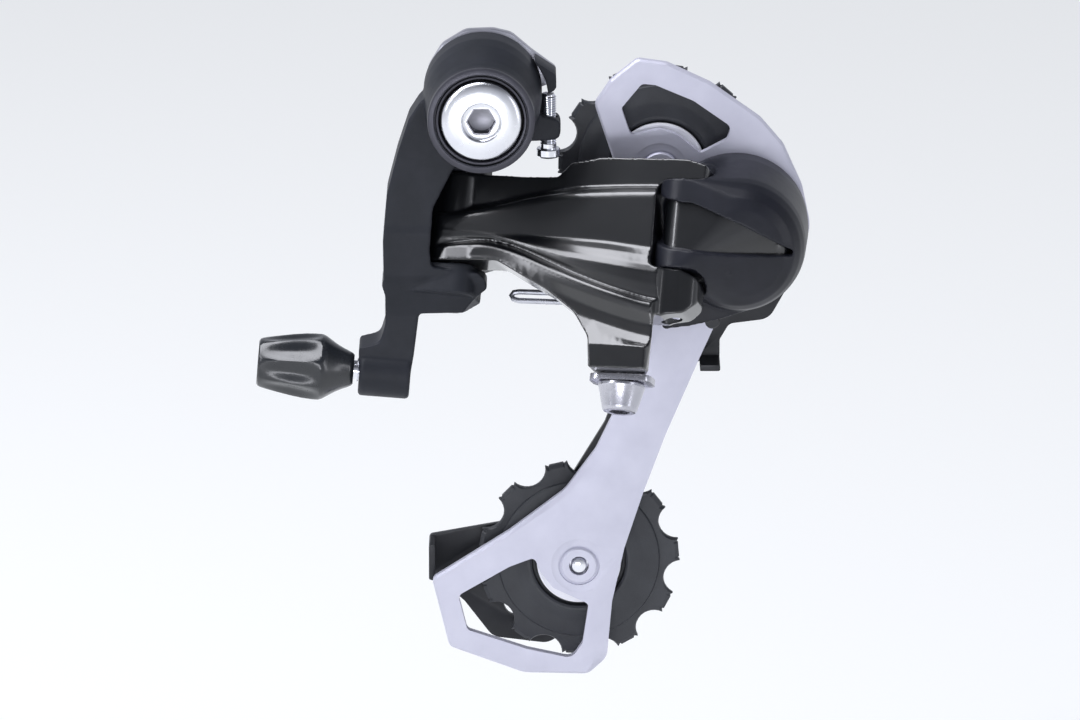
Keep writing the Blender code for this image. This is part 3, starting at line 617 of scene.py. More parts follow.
def combine(target: Thing, tool: Thing, operation: str) -> Thing:
    """Apply a Boolean of the tool to the target and remove the tool.

    Args:
        target: The piece that stays.
        tool: The shape that is used up.
        operation: UNION, DIFFERENCE or INTERSECT.

    Returns:
        The target.
    """
    pick(target)
    step = target.modifiers.new("shape", "BOOLEAN")
    step.operation = operation
    step.solver = "MANIFOLD"
    step.object = tool
    bpy.ops.object.modifier_apply(modifier=step.name)
    bpy.data.objects.remove(tool)
    return target


def join(target: Thing, tool: Thing) -> Thing:
    """Add the tool's shape to the target."""
    return combine(target, tool, "UNION")


def cut(target: Thing, tool: Thing) -> Thing:
    """Take the tool's shape out of the target."""
    return combine(target, tool, "DIFFERENCE")


def bore(target: Thing, radius: float, low: float, high: float, place: Matrix, steps: int = SMALL_ROUND) -> Thing:
    """Bore a round hole.

    Args:
        target: The piece.
        radius: Radius of the hole.
        low: Its lower end.
        high: Its upper end.
        place: Frame with its third axis along the hole.
        steps: Sides of the round.

    Returns:
        The same piece.
    """
    return cut(target, rod("hole", radius, low, high, place, 0.1, steps))


def trim(target: Thing, outline: Sequence[Vector], low: float, high: float, place: Matrix) -> Thing:
    """Keep only what lies inside an extruded outline.

    Args:
        target: The piece.
        outline: The outline's points.
        low: Lower height.
        high: Upper height.
        place: The frame it is drawn in.

    Returns:
        The same piece.
    """
    return combine(target, prism("trim", outline, low, high, place), "INTERSECT")


def thread(start: float, stop: float, pitch: float, tooth: Sequence[Pair]) -> list[Pair]:
    """Repeat a tooth along a screw.

    Args:
        start: Height where the thread starts.
        stop: Height that its last tooth starts before.
        pitch: Height of one turn.
        tooth: Points of a tooth as (radius, height above its start).

    Returns:
        Points of the thread as (radius, height).
    """
    profile: list[Pair] = []
    while start < stop:
        profile += [(radius, start + rise) for radius, rise in tooth]
        start += pitch
    return profile


def wrap(obj: Thing, *others: Thing) -> Thing:
    """Stretch one smooth skin round several shapes, as a forging blends its bosses.

    Args:
        obj: The first shape, which becomes the skin.
        *others: The other shapes, which are used up.

    Returns:
        The closed skin.
    """
    pick(obj)
    for other in others:
        other.select_set(True)
    bpy.ops.object.join()
    bpy.ops.object.mode_set(mode="EDIT")
    bpy.ops.mesh.select_all(action="SELECT")
    bpy.ops.mesh.convex_hull()
    bpy.ops.mesh.select_all(action="SELECT")
    bpy.ops.mesh.delete_loose()
    bpy.ops.object.mode_set(mode="OBJECT")
    return obj


def round_edges(obj: Thing, width: float, segments: int = 2, angle: float = 40.0) -> Thing:
    """Round a piece's sharp edges.

    Args:
        obj: The piece, in its place.
        width: Width of the rounding.
        segments: Sides of the rounding.
        angle: Edges sharper than this are rounded, in degrees.

    Returns:
        The same piece.
    """
    pick(obj)
    step = obj.modifiers.new("edges", "BEVEL")
    step.width = width * MM
    step.segments = segments
    step.limit_method = "ANGLE"
    step.angle_limit = math.radians(angle)
    bpy.ops.object.modifier_apply(modifier=step.name)
    return obj


def soften(obj: Thing, voxel: float, rounds: int) -> Thing:
    """Turn a built-up shape into one skin with soft edges, as a forging has.

    Args:
        obj: The piece, in its place.
        voxel: Size of the skin's squares.
        rounds: Passes of smoothing.

    Returns:
        The same piece.
    """
    pick(obj)
    skin = obj.modifiers.new("skin", "REMESH")
    skin.mode = "VOXEL"
    skin.voxel_size = voxel * MM
    bpy.ops.object.modifier_apply(modifier=skin.name)
    smooth = obj.modifiers.new("smooth", "SMOOTH")
    smooth.factor = 0.5
    smooth.iterations = rounds
    bpy.ops.object.modifier_apply(modifier=smooth.name)
    return obj


def wire(name: str, points: Sequence[Vector], radius: float, sides: int = 4) -> Thing:
    """Sweep a round wire along points.

    Args:
        name: Name of the piece.
        points: Places that it passes.
        radius: Radius of the wire.
        sides: Sides of each quarter turn.

    Returns:
        The closed piece.
    """
    deselect()
    bpy.ops.curve.primitive_bezier_curve_add()
    obj = bpy.context.active_object
    obj.name = name
    line = obj.data
    line.splines.clear()
    line.dimensions = "3D"
    line.bevel_depth = radius * MM
    line.bevel_resolution = sides
    line.use_fill_caps = True
    spline = line.splines.new("POLY")
    spline.points.add(len(points) - 1)
    for spot, point in zip(spline.points, points):
        spot.co = (*(Vector(point) * MM), 1)
    bpy.ops.object.convert(target="MESH")
    obj = bpy.context.active_object
    obj.data.name = name
    return settle(obj, Matrix.Scale(1 / MM, 4))


def bend(points: Sequence[Vector], steps: int = 6) -> list[Vector]:
    """Smooth a route through its points.

    Args:
        points: The route's corners.
        steps: Points between two corners.

    Returns:
        Points of a smooth curve through them.
    """
    ends = [points[0], *points, points[-1]]
    route: list[Vector] = []
    for p0, p1, p2, p3 in zip(ends, ends[1:], ends[2:], ends[3:]):
        for step in range(steps):
            t = step / steps
            route.append(0.5 * (2 * p1 + (p2 - p0) * t + (2 * p0 - 5 * p1 + 4 * p2 - p3) * t * t
                                + (3 * p1 - p0 - 3 * p2 + p3) * t**3))
    return [*route, points[-1]]


def coil(place: Matrix, radius: float, low: float, high: float, turns: float, steps: int = 32) -> list[Vector]:
    """Return points of a helix.

    Args:
        place: Frame whose third axis is the helix's.
        radius: Radius of its middle line.
        low: Height of its start.
        high: Height of its end.
        turns: Number of turns.
        steps: Points for each turn.

    Returns:
        The points in millimetres.
    """
    total = int(turns * steps)
    points = []
    for step in range(total + 1):
        turn = 2 * math.pi * step / steps
        height = low + (high - low) * step / total
        points.append(place @ Vector((radius * math.cos(turn), radius * math.sin(turn), height)))
    return points


def dress(obj: Thing, finish: Finish, body: str, *nodes: str, angle: float = 32.0) -> Thing:
    """Give a piece its finish, its body and the CAD nodes that it stands for.

    Args:
        obj: The piece, in its place.
        finish: Its finish.
        body: The body it rides on.
        nodes: CAD nodes that it stands for.
        angle: Edges sharper than this stay sharp, in degrees.

    Returns:
        The same piece.
    """
    pick(obj)
    if nodes:
        obj.name = nodes[0] + "_piece"
        obj.data.name = obj.name
    bpy.ops.object.shade_smooth_by_angle(angle=math.radians(angle))
    obj.data.materials.clear()
    obj.data.materials.append(finish.value.material("finish_" + finish.name.lower()))
    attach(obj, body)
    if nodes:
        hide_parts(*nodes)
    LOG.info("%s on %s, %d faces", obj.name, body, len(obj.data.polygons))
    return obj


# ---------------------------------------------------------------- hanger axle


@dataclass
class HangerAxle:
    """Bolt, stopper plate and retaining ring that stay still on the bicycle's hanger."""

    layout: Layout
    body: str = "hanger_axle"
    face: float = -25.0
    head_radius: float = 8.4
    plate_thickness: float = 2.2

    def build(self) -> None:
        """Make the three pieces and dress them."""
        dress(self.bolt(), Finish.TURNED_STEEL, self.body, "hanger_bolt", angle=25)
        # The socket's lining is tinted dark as painted shade inside the hex.
        dress(self.socket(), Finish.BROACHED, self.body)
        dress(self.plate(), Finish.ZINC, self.body, "stopper_plate")
        dress(self.beak(), Finish.SATIN_BLACK, self.body)
        ring = turned("snap_ring", [(5.3, -3.4), (6.85, -3.4), (7.0, -3.25), (7.0, -2.65), (6.85, -2.5), (5.3, -2.5)],
                      HANGER_AXIS)
        dress(ring, Finish.SPRING, self.body, "snap_ring")

    def bolt(self) -> Thing:
        """Turn the bolt with its domed head, thread and hex socket."""
        face, rim = self.face, self.head_radius
        profile = [
            (0, face + 0.75), (3.5, face + 0.75), (3.85, face + 0.6), (4.05, face + 0.2), (4.15, face - 0.02),
            (4.3, face - 0.08), (5.2, face - 0.02), (6.4, face + 0.12), (7.4, face + 0.36), (8.0, face + 0.66),
            (8.3, face + 1.0), (rim, face + 1.4), (rim, face + 3.2), (rim - 0.3, face + 3.6), (5.5, face + 3.6),
            (5.5, -3.7), (5.0, -3.7), (5.0, -0.4),
            *thread(-0.4, 7.6, 1.05, ((4.45, 0.45), (4.45, 0.6), (5.0, 0.95), (5.0, 1.05))), (4.3, 9.0), (0, 9.0),
        ]
        bolt = turned("hanger_bolt", profile, HANGER_AXIS)
        socket = prism("socket", hexagon(5.6), face - 1, face + 5.5, self.layout.front)
        return cut(bolt, socket)

    def socket(self) -> Thing:
        """Line the hex socket with its broached walls and its coned floor, tinted far darker than the bolt as painted
        shade in the socket.
        """
        face = self.face
        shade_lining = prism("socket_lining", hexagon(5.55), face + 0.95, face + 5.4, self.layout.front)
        hollow = turned("hollow", [(0, face), (2.6, face), (2.6, face + 3.6), (0, face + 4.4)], HANGER_AXIS)
        shade_lining = cut(shade_lining, prism("walls", hexagon(5.05), face, face + 3.2, self.layout.front))
        return cut(shade_lining, hollow)

    def plate(self) -> Thing:
        """Cut the stopper plate that stands against the hanger."""
        outline = rounded([
            (-8.0, -9.0, 5), (8.5, -9.0, 5), (11.8, -2.0, 2), (11.6, 1.6, 0.6), (15.6, 3.1, 0.8),
            (15.5, 6.0, 1.2), (10.6, 9.6, 2), (6.2, 13.4, 4), (2.4, 14.3, 4), (-3.4, 14.1, 4), (-8.4, 11.0, 4),
            (-11.4, 6.0, 5), (-11.4, -2.0, 6),
        ])
        plate = prism("stopper_plate", outline, -self.plate_thickness, 0.0, self.layout.front,
                      [circle((0, 0), 5.3, ROUND)])
        return round_edges(plate, 0.3)

    def beak(self) -> Thing:
        """Bend the beak that the tension screw bears on."""
        outline = rounded([
            (13.9, 2.2, 0.3), (15.1, 2.9, 0.5), (15.6, 3.6, 0.5), (15.5, 6.3, 0.9), (10.8, 9.4, 0.2), (12.0, 7.7, 2),
            (13.4, 5.0, 2),
        ])
        return round_edges(prism("stopper_beak", outline, -9.5, -2.3, self.layout.front), 0.2, 2)


# ---------------------------------------------------------------- upper knuckle


@dataclass
class UpperKnuckle:
    """Upper knuckle with its housing, arm, pin ears and cable socket, and what is fixed in it."""

    layout: Layout
    body: str = "b_knuckle"
    ring_radius: float = 11.2
    drum_radius: float = 12.4
    drum_centre: Pair = (0.2, 1.7)
    back: float = -3.0
    socket_radius: float = 5.3
    socket_length: float = 10.8
    pin_low: float = -15.4
    pin_high: float = 15.6
    pin_floor: float = -14.0
    voxel: float = 0.3
    limit_heights: Pair = (-23.2, -29.6)

    @property
    def adjuster(self) -> Matrix:
        """Return the frame at the cable socket's inner end, pointing out to the adjuster."""
        joint = "barrel_adjuster_turn"
        return frame_on(self.layout.point(joint), self.layout.axis(joint), Vector((0, 0, 1)))

    @property
    def tension_screw(self) -> Matrix:
        """Return the frame of the tension screw, pointing up to the beak."""
        return frame_on(Vector((13.9, -6.6, -5.5)), self.layout.axis("b_tension_screw_turn"))

    def limit_screw(self, height: float) -> Matrix:
        """Return the frame of a limit screw, its axis running forward from the head."""
        return frame_on(Vector((-14.0, -0.6, height)), -self.layout.axis("high_limit_screw_turn"))

    def build(self) -> None:
        """Make the casting, its ring, springs, seals, pins and screws."""
        dress(self.casting(), Finish.SATIN_BLACK, self.body, "b_knuckle", angle=60)
        dress(self.face_ring(), Finish.FACED_BLACK, self.body)
        seal = turned("b_seal", [(7.4, -21.1), (8.7, -21.1), (8.8, -21.0), (8.8, -20.7), (8.7, -20.6), (7.4, -20.6)],
                      HANGER_AXIS)
        dress(seal, Finish.RUBBER, self.body, "b_seal")
        bush = turned("b_bush", [(5.8, -20.2), (6.8, -20.2), (6.8, -3.8), (5.8, -3.8)], HANGER_AXIS)
        dress(round_edges(bush, 0.15), Finish.BRONZE, self.body, "b_bush")
        spring = wire("b_spring", coil(HANGER_AXIS, 8.4, -15.9, -4.3, 3.5), 0.7)
        dress(spring, Finish.SPRING, self.body, "b_spring")
        self.stem()
        self.pins()
        self.screws()

    def drum(self) -> Thing:
        """Loft the round housing, which widens towards the back."""
        sections = []
        for depth, radius, shift in (
            (-23.9, self.ring_radius - 0.25, 0.0), (-23.6, self.ring_radius, 0.0), (-21.5, self.ring_radius, 0.03),
            (-19.0, self.ring_radius + 0.2, 0.2), (-16.0, self.ring_radius + 0.55, 0.5),
            (-13.0, self.drum_radius - 0.3, 0.8), (-9.5, self.drum_radius, 1.0), (self.back, self.drum_radius, 1.0),
        ):
            centre = (self.drum_centre[0] * shift, self.drum_centre[1] * shift)
            sections.append([Vector((p.x, p.y, depth)) for p in circle(centre, radius, ROUND)])
        return loft("b_knuckle", sections, self.layout.front)

    def arm(self) -> Thing:
        """Cut the arm and give its front its three slopes."""
        outline = rounded([
            (-11.9, 3.0, 3), (-15.2, -2.2, 0.8), (-17.6, -9.5, 6), (-19.8, -18.0, 6), (-20.7, -28.0, 6),
            (-20.6, -36.6, 3), (-21.0, -37.8, 0.8), (-20.3, -40.2, 2), (-20.3, -46.5, 3), (-21.5, -50.6, 2.5),
            (-25.9, -51.6, 1), (-25.9, -56.5, 0), (-15.1, -57.6, 0), (-14.3, -53.0, 4), (-13.2, -44.3, 0.8),
            (-3.9, -44.0, 1.0), (-1.5, -40.8, 1), (1.2, -38.5, 1.0), (0.6, -36.2, 1), (-0.8, -34.8, 0.6),
            (-10.6, -33.6, 1.2), (-10.9, -30.0, 4), (-10.2, -21.0, 4), (-6.0, -12.8, 3), (4.0, -4.0, 1),
        ])
        arm = prism("arm", outline, -17.0, -4.5, self.layout.front)
        profile = [
            Vector(p) for p in (
                (-3.0, 14.0), (-13.6, 14.0), (-13.8, -4.0), (-15.6, -24.6), (-16.0, -26.4), (-15.9, -35.6),
                (-15.2, -37.0), (-14.0, -44.5), (-14.4, -51.0), (-15.4, -70.0), (-3.0, -70.0),
            )
        ]
        side = Matrix(((0, 0, 1, 0), (1, 0, 0, 0), (0, 1, 0, 0), (0, 0, 0, 1)))
        return trim(arm, profile, -40, 20, side)

    def ear(self, low: float, high: float) -> Thing:
        """Cut an ear that holds one end of both pins."""
        reach = self.layout.inner_shift[1] + 4.6
        outline = rounded([
            (-13.5, -4.0, 2), (-3.0, -5.0, 3), (5.2, -5.0, 4), (5.2, 5.0, 4), (-1.4, reach, 4), (-13.5, reach, 4),
        ])
        return prism("ear", outline, low, high, self.layout.link())

    def casting(self) -> Thing:
        """Build up the casting, soften it into one skin and bore it."""
        layout = self.layout
        body = join(self.drum(), self.arm())
        body = join(body, rod("socket", self.socket_radius, 0, self.socket_length, self.adjuster, 0.5, ROUND))
        body = join(body, self.ear(self.pin_low + 0.3, BARREL_LOW + 0.5))
        body = join(body, self.ear(BARREL_HIGH - 0.5, self.pin_high - 0.3))
        web = [Vector(p) for p in ((-13.4, -3.7), (-10.8, -3.7), (-10.8, 14.7), (-13.4, 14.7))]
        body = join(body, prism("web", web, self.pin_low, self.pin_high, layout.link()))
        lug = rounded([(8.0, -8.0, 1), (16.5, -7.6, 2), (16.5, -3.4, 2), (9.0, -1.5, 1)])
        body = join(body, prism("lug", lug, -10.0, self.back - 0.2, layout.front))
        stops = rounded([(-17.6, -33.5, 1), (-17.6, -19.5, 1), (-10.6, -19.5, 1), (-10.6, -33.5, 1)])
        body = join(body, prism("stops", stops, -5.3, 2.5, layout.front))
        sweep = rounded([
            (-5.9, -5.8, 4), (16.0, -9.0, 1), (16.0, 27.0, 1), (-5.0, 16.8, 3), (-11.6, 15.8, 4), (-11.6, 7.0, 3),
            (-5.9, 5.0, 2),
        ])
        body = cut(body, prism("sweep", sweep, BARREL_LOW - GAP, BARREL_HIGH + GAP, layout.link()))
        body = soften(body, self.voxel, 5)
        return self.bored(body)

    def bored(self, body: Thing) -> Thing:
        """Bore the holes of the axle, the pins, the screws and the cable.

        Args:
            body: The softened casting.

        Returns:
            The same casting.
        """
        steps = [(0, -30), (9.7, -30), (9.7, -20.3), (7.1, -20.3), (7.1, -17.0), (9.6, -17.0), (9.6, 0), (0, 0)]
        body = cut(body, turned("axle_bore", steps, HANGER_AXIS))
        body = bore(body, 2.0, -20, 12, self.tension_screw)
        for place in (self.layout.link(), self.layout.inner()):
            body = bore(body, PIN_HOLE, self.pin_floor - GAP, THROUGH, place)
        for height in self.limit_heights:
            body = bore(body, 1.8, -THROUGH, 12, self.limit_screw(height))
            body = bore(body, 2.6, 3.7, 12, self.limit_screw(height))
        return cut(body, turned("neck", [(0, 2.0), (2.9, 2.0), (2.9, 30), (0, 30)], self.adjuster))

    def face_ring(self) -> Thing:
        """Turn the faced ring round the bolt's head, with its groove and inner lip."""
        outer = self.ring_radius
        profile = [
            (8.85, -20.4), (8.85, -23.3), (9.0, -23.55), (9.35, -23.6), (9.5, -23.4), (9.55, -22.9), (9.75, -22.9),
            (9.8, -23.9), (10.0, -24.15), (outer - 0.45, -24.15), (outer - 0.1, -24.0), (outer + 0.02, -23.6),
            (outer + 0.02, -22.9), (outer - 0.3, -22.7), (9.72, -22.6), (9.68, -20.4),
        ]
        return turned("housing_ring", profile, HANGER_AXIS)

    def stem(self) -> None:
        """Turn the threaded stem that the barrel adjuster turns on."""
        profile = [
            (1.2, 2.6), (2.5, 2.6), *thread(2.8, 10.6, 0.7, ((2.5, 0.1), (2.15, 0.3), (2.15, 0.4), (2.5, 0.6))),
            (2.5, 11.3), (2.0, 11.3), (2.0, 26.5), (1.2, 26.5),
        ]
        dress(turned("adjuster_stem", profile, self.adjuster), Finish.CHROME, self.body, "adjuster_stem")

    def pins(self) -> None:
        """Turn the two pins of this knuckle."""
        for name, place in (("outer_pin_b", self.layout.link()), ("inner_pin_b", self.layout.inner())):
            pin = rod(name, PIN_RADIUS, self.pin_floor, self.pin_high, place)
            dress(pin, Finish.PLATED_STEEL, self.body, name)

    def screws(self) -> None:
        """Make the tension screw and the two limit screws."""
        tension = small_screw("b_tension_screw", 1.7, 2.5, 7.2, -4.6, self.tension_screw)
        dress(tension, Finish.CHROME, "b_tension_screw", "b_tension_screw")
        for name, height in zip(("high_limit_screw", "low_limit_screw"), self.limit_heights):
            screw = small_screw(name, 1.5, 2.3, -2.6, 4.0, self.limit_screw(height))
            dress(screw, Finish.PLATED_STEEL, name, name)


def small_screw(name: str, radius: float, head_radius: float, tip: float, head: float, place: Matrix) -> Thing:
    """Turn a screw with a thread, a rounded head and a hex socket.

    Args:
        name: Name of the piece.
        radius: Radius of the thread.
        head_radius: Radius of the head.
        tip: Height of the tip.
        head: Height where the head starts.
        place: The frame it is drawn in.

    Returns:
        The closed piece.
    """
    way = math.copysign(1, head - tip)
    teeth = thread(0.5, abs(head - tip) - 1.0, 0.5, ((radius - 0.25, 0.0), (radius, 0.25)))
    profile = [
        (0, tip), (radius - 0.5, tip), (radius - 0.25, tip + 0.4 * way), *((r, tip + h * way) for r, h in teeth),
        (radius, head), (head_radius - 0.15, head), (head_radius, head + 0.2 * way),
        (head_radius, head + 1.5 * way), (head_radius - 0.35, head + 1.9 * way), (0, head + 1.9 * way),
    ]
    body = turned(name, profile, place, SMALL_ROUND)
    ends = sorted((head + 0.6 * way, head + 4 * way))
    return cut(body, prism("drive", hexagon(2.0), ends[0], ends[1], place))


# ---------------------------------------------------------------- barrel adjuster


@dataclass
class BarrelAdjuster:
    """Fluted barrel that flares from its neck and is turned by hand.

    The outline's pairs are (height, radius), and fading gives how deep the flutes are at a height.
    """

    place: Matrix
    body: str = "barrel_adjuster"
    flutes: int = 8
    depth: float = 0.5
    sides: int = 14
    crispness: float = 0.6
    fading: Sequence[Pair] = ((18.6, 0.0), (19.6, 1.0), (30.6, 0.75), (32.0, 0.0))
    outline: Sequence[Pair] = (
        (12.0, 3.1), (12.4, 3.5), (13.0, 3.8), (14.2, 4.3), (15.4, 4.9), (16.4, 5.5), (17.4, 6.15), (18.2, 6.65),
        (18.9, 6.95), (19.3, 7.0), (20.5, 6.98), (22.5, 6.85), (25.0, 6.5), (27.5, 6.05), (29.8, 5.6), (31.4, 5.25),
        (31.9, 5.0), (32.2, 4.6),
    )

    def build(self) -> None:
        """Loft the barrel, bore it and dress it."""
        steps = self.flutes * self.sides
        sections = []
        for height, radius in self.outline:
            depth = self.depth * between(self.fading, height)
            ring = []
            for step in range(steps):
                turn = 2 * math.pi * step / steps
                wave = 0.5 + 0.5 * math.cos(self.flutes * turn)
                r = radius - depth * wave**self.crispness
                ring.append(Vector((r * math.cos(turn), r * math.sin(turn), height)))
            sections.append(ring)
        barrel = loft("barrel_adjuster", sections, self.place)
        channel = [(0, 10), (2.3, 10), (2.3, 27), (3.2, 27), (3.2, 40), (0, 40)]
        barrel = cut(barrel, turned("channel", channel, self.place, SMALL_ROUND))
        dress(barrel, Finish.BARREL, self.body, "barrel_adjuster", angle=28)


# ---------------------------------------------------------------- links


@dataclass
class OuterLink:
    """Outer link: crowned panel, fork for the lower knuckle and the cable anchor's tab.

    The rows of pairs give each line of the panel as (distance along the link, height or depth there).
    """

    layout: Layout
    body: str = "outer_link"
    voxel: float = 0.26
    first: float = -7.0
    spacing: float = 1.6
    stations: int = 40
    spring_depth: float = 5.8
    panel: float = -5.6
    tier: Sequence[Pair] = ((10.0, -3.4), (19.0, -3.0), (24.0, -3.6), (60.0, -3.8))
    top: Sequence[Pair] = ((12.0, 11.4), (19.0, 13.0), (26.0, 15.4), (60.0, 15.4))
    edge: Sequence[Pair] = ((-6.0, 1.0), (6.0, 2.6), (16.5, 5.4), (23.0, 6.6), (32.0, 7.3), (44.0, 7.8), (60.0, 7.8))
    ridge: Sequence[Pair] = ((-6.0, -1.6), (12.0, -2.6), (24.0, -2.9), (33.0, -3.3), (44.0, -4.4), (60.0, -5.0))
    crease: Sequence[Pair] = (
        (-6.0, -6.4), (3.3, -4.6), (8.0, -4.2), (12.0, -4.9), (16.0, -6.2), (20.0, -7.9), (29.0, -11.5),
        (38.0, -14.4), (45.0, -16.0), (60.0, -16.4),
    )
    band: Sequence[Pair] = ((4.0, 0.2), (12.0, 0.9), (18.0, 2.4), (26.0, 4.4), (36.0, 5.4), (60.0, 5.4))
    swell: Sequence[Pair] = ((4.0, 0.05), (12.0, 0.4), (20.0, 1.5), (28.0, 2.5), (38.0, 2.9), (44.0, 2.4), (60.0, 1.6))

    def build(self) -> None:
        """Make the link, its pin and the return spring."""
        dress(self.casting(), Finish.GLOSS_BLACK, self.body, "outer_link", angle=60)
        pin = rod("outer_pin_p", PIN_RADIUS, -18.0, 15.6, self.layout.link(self.layout.length))
        dress(pin, Finish.CHROME, self.body, "outer_pin_p")
        dress(self.spring(), Finish.SPRING, self.body, "return_spring")

    def section(self, u: float) -> list[Vector]:
        """Return the link's cross-section at a distance along it.

        Args:
            u: Distance along the link.

        Returns:
            Points as (along, up the pin, inward).
        """
        top = between(self.top, u)
        edge = between(self.edge, u)
        ridge = between(self.ridge, u)
        crease = between(self.crease, u)
        band = between(self.band, u)
        swell = between(self.swell, u)
        face = self.panel
        belly = face - swell
        lip = min(crease - 5.2, -15.0 + 0.2 * min(u, 20.0))
        tier = between(self.tier, u)
        spots = [
            (top + 3.0, 3.2), (top + 3.0, tier), (edge + 1.7, tier + 0.1), (edge + 0.9, tier - 0.7),
            (edge + 0.25, face + 0.5), (edge - 0.35, face + 0.1), (edge - 1.2, face - 0.05),
            (edge * 0.4 + ridge * 0.6, face - 0.1), (ridge + 0.2, face - 0.05), (ridge - 0.2, face - 0.18),
            (ridge - band * 0.35, belly + swell * 0.52), (ridge - band * 0.7, belly + swell * 0.16),
            (ridge - band, belly), ((ridge - band) * 0.6 + crease * 0.4, belly + 0.1 + swell * 0.05),
            (crease + 1.3, belly + 0.4 + swell * 0.12), (crease + 0.5, belly + 0.6 + swell * 0.15),
            (crease - 0.3, belly - 0.5), (crease - 0.9, belly - 1.0), (crease - 1.7, belly - 1.15),
            (crease - 3.0, belly - 1.0 + swell * 0.1), (lip, face - 2.0), (min(lip - 2.5, -19.5), face - 2.2),
            (min(lip - 4.5, -23.0), face - 3.1), (-26.3, face - 4.2), (-26.7, face - 4.1), (-34.0, face - 3.9),
            (-34.0, 3.2),
        ]
        return [Vector((u, up, inward)) for up, inward in spots]

    def casting(self) -> Thing:
        """Loft the panel, trim it to its outlines, soften it and bore it."""
        layout = self.layout
        sections = [self.section(self.first + self.spacing * step) for step in range(self.stations)]
        body = loft("outer_link", sections, layout.face())
        low, high = BARREL_LOW, BARREL_HIGH
        face = rounded([
            (-5.2, low, 1), (-5.2, high, 1), (14.0, 10.7, 6), (21.6, 10.9, 1), (24.4, 13.9, 1.5), (31.0, 15.2, 6),
            (49.0, 15.4, 3), (53.9, 14.2, 3), (54.0, 11.0, 0.6), (45.4, 11.0, 1.2), (43.6, 9.6, 2),
            (43.8, -8.7, 2.2), (50.0, -8.7, 3), (54.0, -10.2, 2.6), (54.0, -15.2, 3), (51.4, -17.8, 2.5),
            (47.2, -18.6, 1.2), (46.0, -21.4, 2), (45.6, -31.0, 0.3), (33.3, -31.0, 0.3), (32.6, -24.6, 5),
            (28.6, -18.9, 6), (22.0, -14.2, 6), (16.5, -11.4, 5), (11.0, low, 3),
        ])
        body = trim(body, face, -14.0, 6.0, layout.face())
        side = rounded([
            (-5.2, -5.4, 5), (6.0, -6.8, 8), (14.0, -11.6, 8), (44.6, -11.6, 1.6), (46.4, -6.4, 2.5), (50.0, -5.6, 2),
            (53.9, -4.0, 4), (53.9, 4.9, 4.5), (44.0, 3.0, 3), (5.2, 3.0, 3), (3.0, 4.9, 2), (-4.9, 4.9, 4.5),
        ])
        body = trim(body, side, -34, 20, layout.link())
        taper = rounded([(46.6, -9.4, 0), (60.0, -9.4, 0), (60.0, 8.0, 0), (40.0, 8.0, 0), (42.4, 2.0, 0)])
        body = cut(body, prism("taper", taper, -40, -18.9, layout.link()))
        barrel = rod("barrel", 5.0, low, high, layout.link(), 0.6, ROUND)
        body = soften(join(body, barrel), self.voxel, 4)
        for place in (layout.link(), layout.link(layout.length)):
            body = bore(body, PIN_HOLE, -THROUGH, THROUGH, place)
        return bore(body, 2.4, -45, -22, layout.anchor)

    def spring(self) -> Thing:
        """Wind the return spring with its long leg."""
        radius = 2.0
        place = self.layout.link(self.layout.length - 14.0, self.spring_depth)
        spots = [
            (24.0, -11.6), (18.0, -11.6), (12.6, -11.6), (11.4, -11.8), (10.9, -12.5), (11.4, -13.2), (12.6, -13.5),
            (14.0, -13.5), (20.0, -13.5), (27.0, -13.5),
        ]
        leg = [self.layout.link(along, self.spring_depth) @ Vector((0, radius, up)) for along, up in spots]
        return wire("return_spring", leg + coil(place, radius, -13.4, -8.4, 2.5)[8:], 0.6)


@dataclass
class CableAnchor:
    """Clamp bolt and hooked clamp plate under the outer link's tab."""

    place: Matrix
    body: str = "cable_anchor"

    def build(self) -> None:
        """Make the plate and the bolt."""
        dress(self.plate(), Finish.ANCHOR_STEEL, self.body, "anchor_plate")
        dress(self.bolt(), Finish.ANCHOR_STEEL, self.body, "anchor_bolt", angle=25)

    def plate(self) -> Thing:
        """Cut the clamp plate and bend its two hooks up beside the tab."""
        outline = rounded([(-6.6, -3.6, 2.4), (6.6, -3.6, 2.4), (6.6, 3.6, 2.4), (-6.6, 3.6, 2.4)])
        plate = round_edges(prism("anchor_plate", outline, -32.6, -31.3, self.place, [circle((0, 0), 2.4)]), 0.35, 3)
        right = [(3.0, -4.0, -32.3), (6.4, -4.0, -32.2), (8.2, -3.6, -31.4), (8.9, -3.4, -29.8), (9.0, -3.2, -27.4)]
        left = [(-3.0, -4.0, -32.3), (-5.8, -4.0, -32.1), (-7.1, -3.8, -31.0), (-7.4, -3.6, -29.4)]
        for name, spots in (("right_hook", right), ("left_hook", left)):
            route = bend([self.place @ Vector(p) for p in spots])
            plate = join(plate, wire(name, route, 0.85, 5))
        return plate

    def bolt(self) -> Thing:
        """Turn the tapered clamp bolt with its hex socket."""
        profile = [
            (0, -38.8), (3.0, -38.8), (3.35, -38.7), (3.6, -38.4), (3.75, -37.9), (4.75, -33.9), (4.9, -33.6),
            (4.9, -33.1), (4.7, -32.9), (2.1, -32.9), (2.1, -22.6), (0, -22.6),
        ]
        body = turned("anchor_bolt", profile, self.place)
        return cut(body, prism("drive", hexagon(4.0), -40, -35.6, self.place))


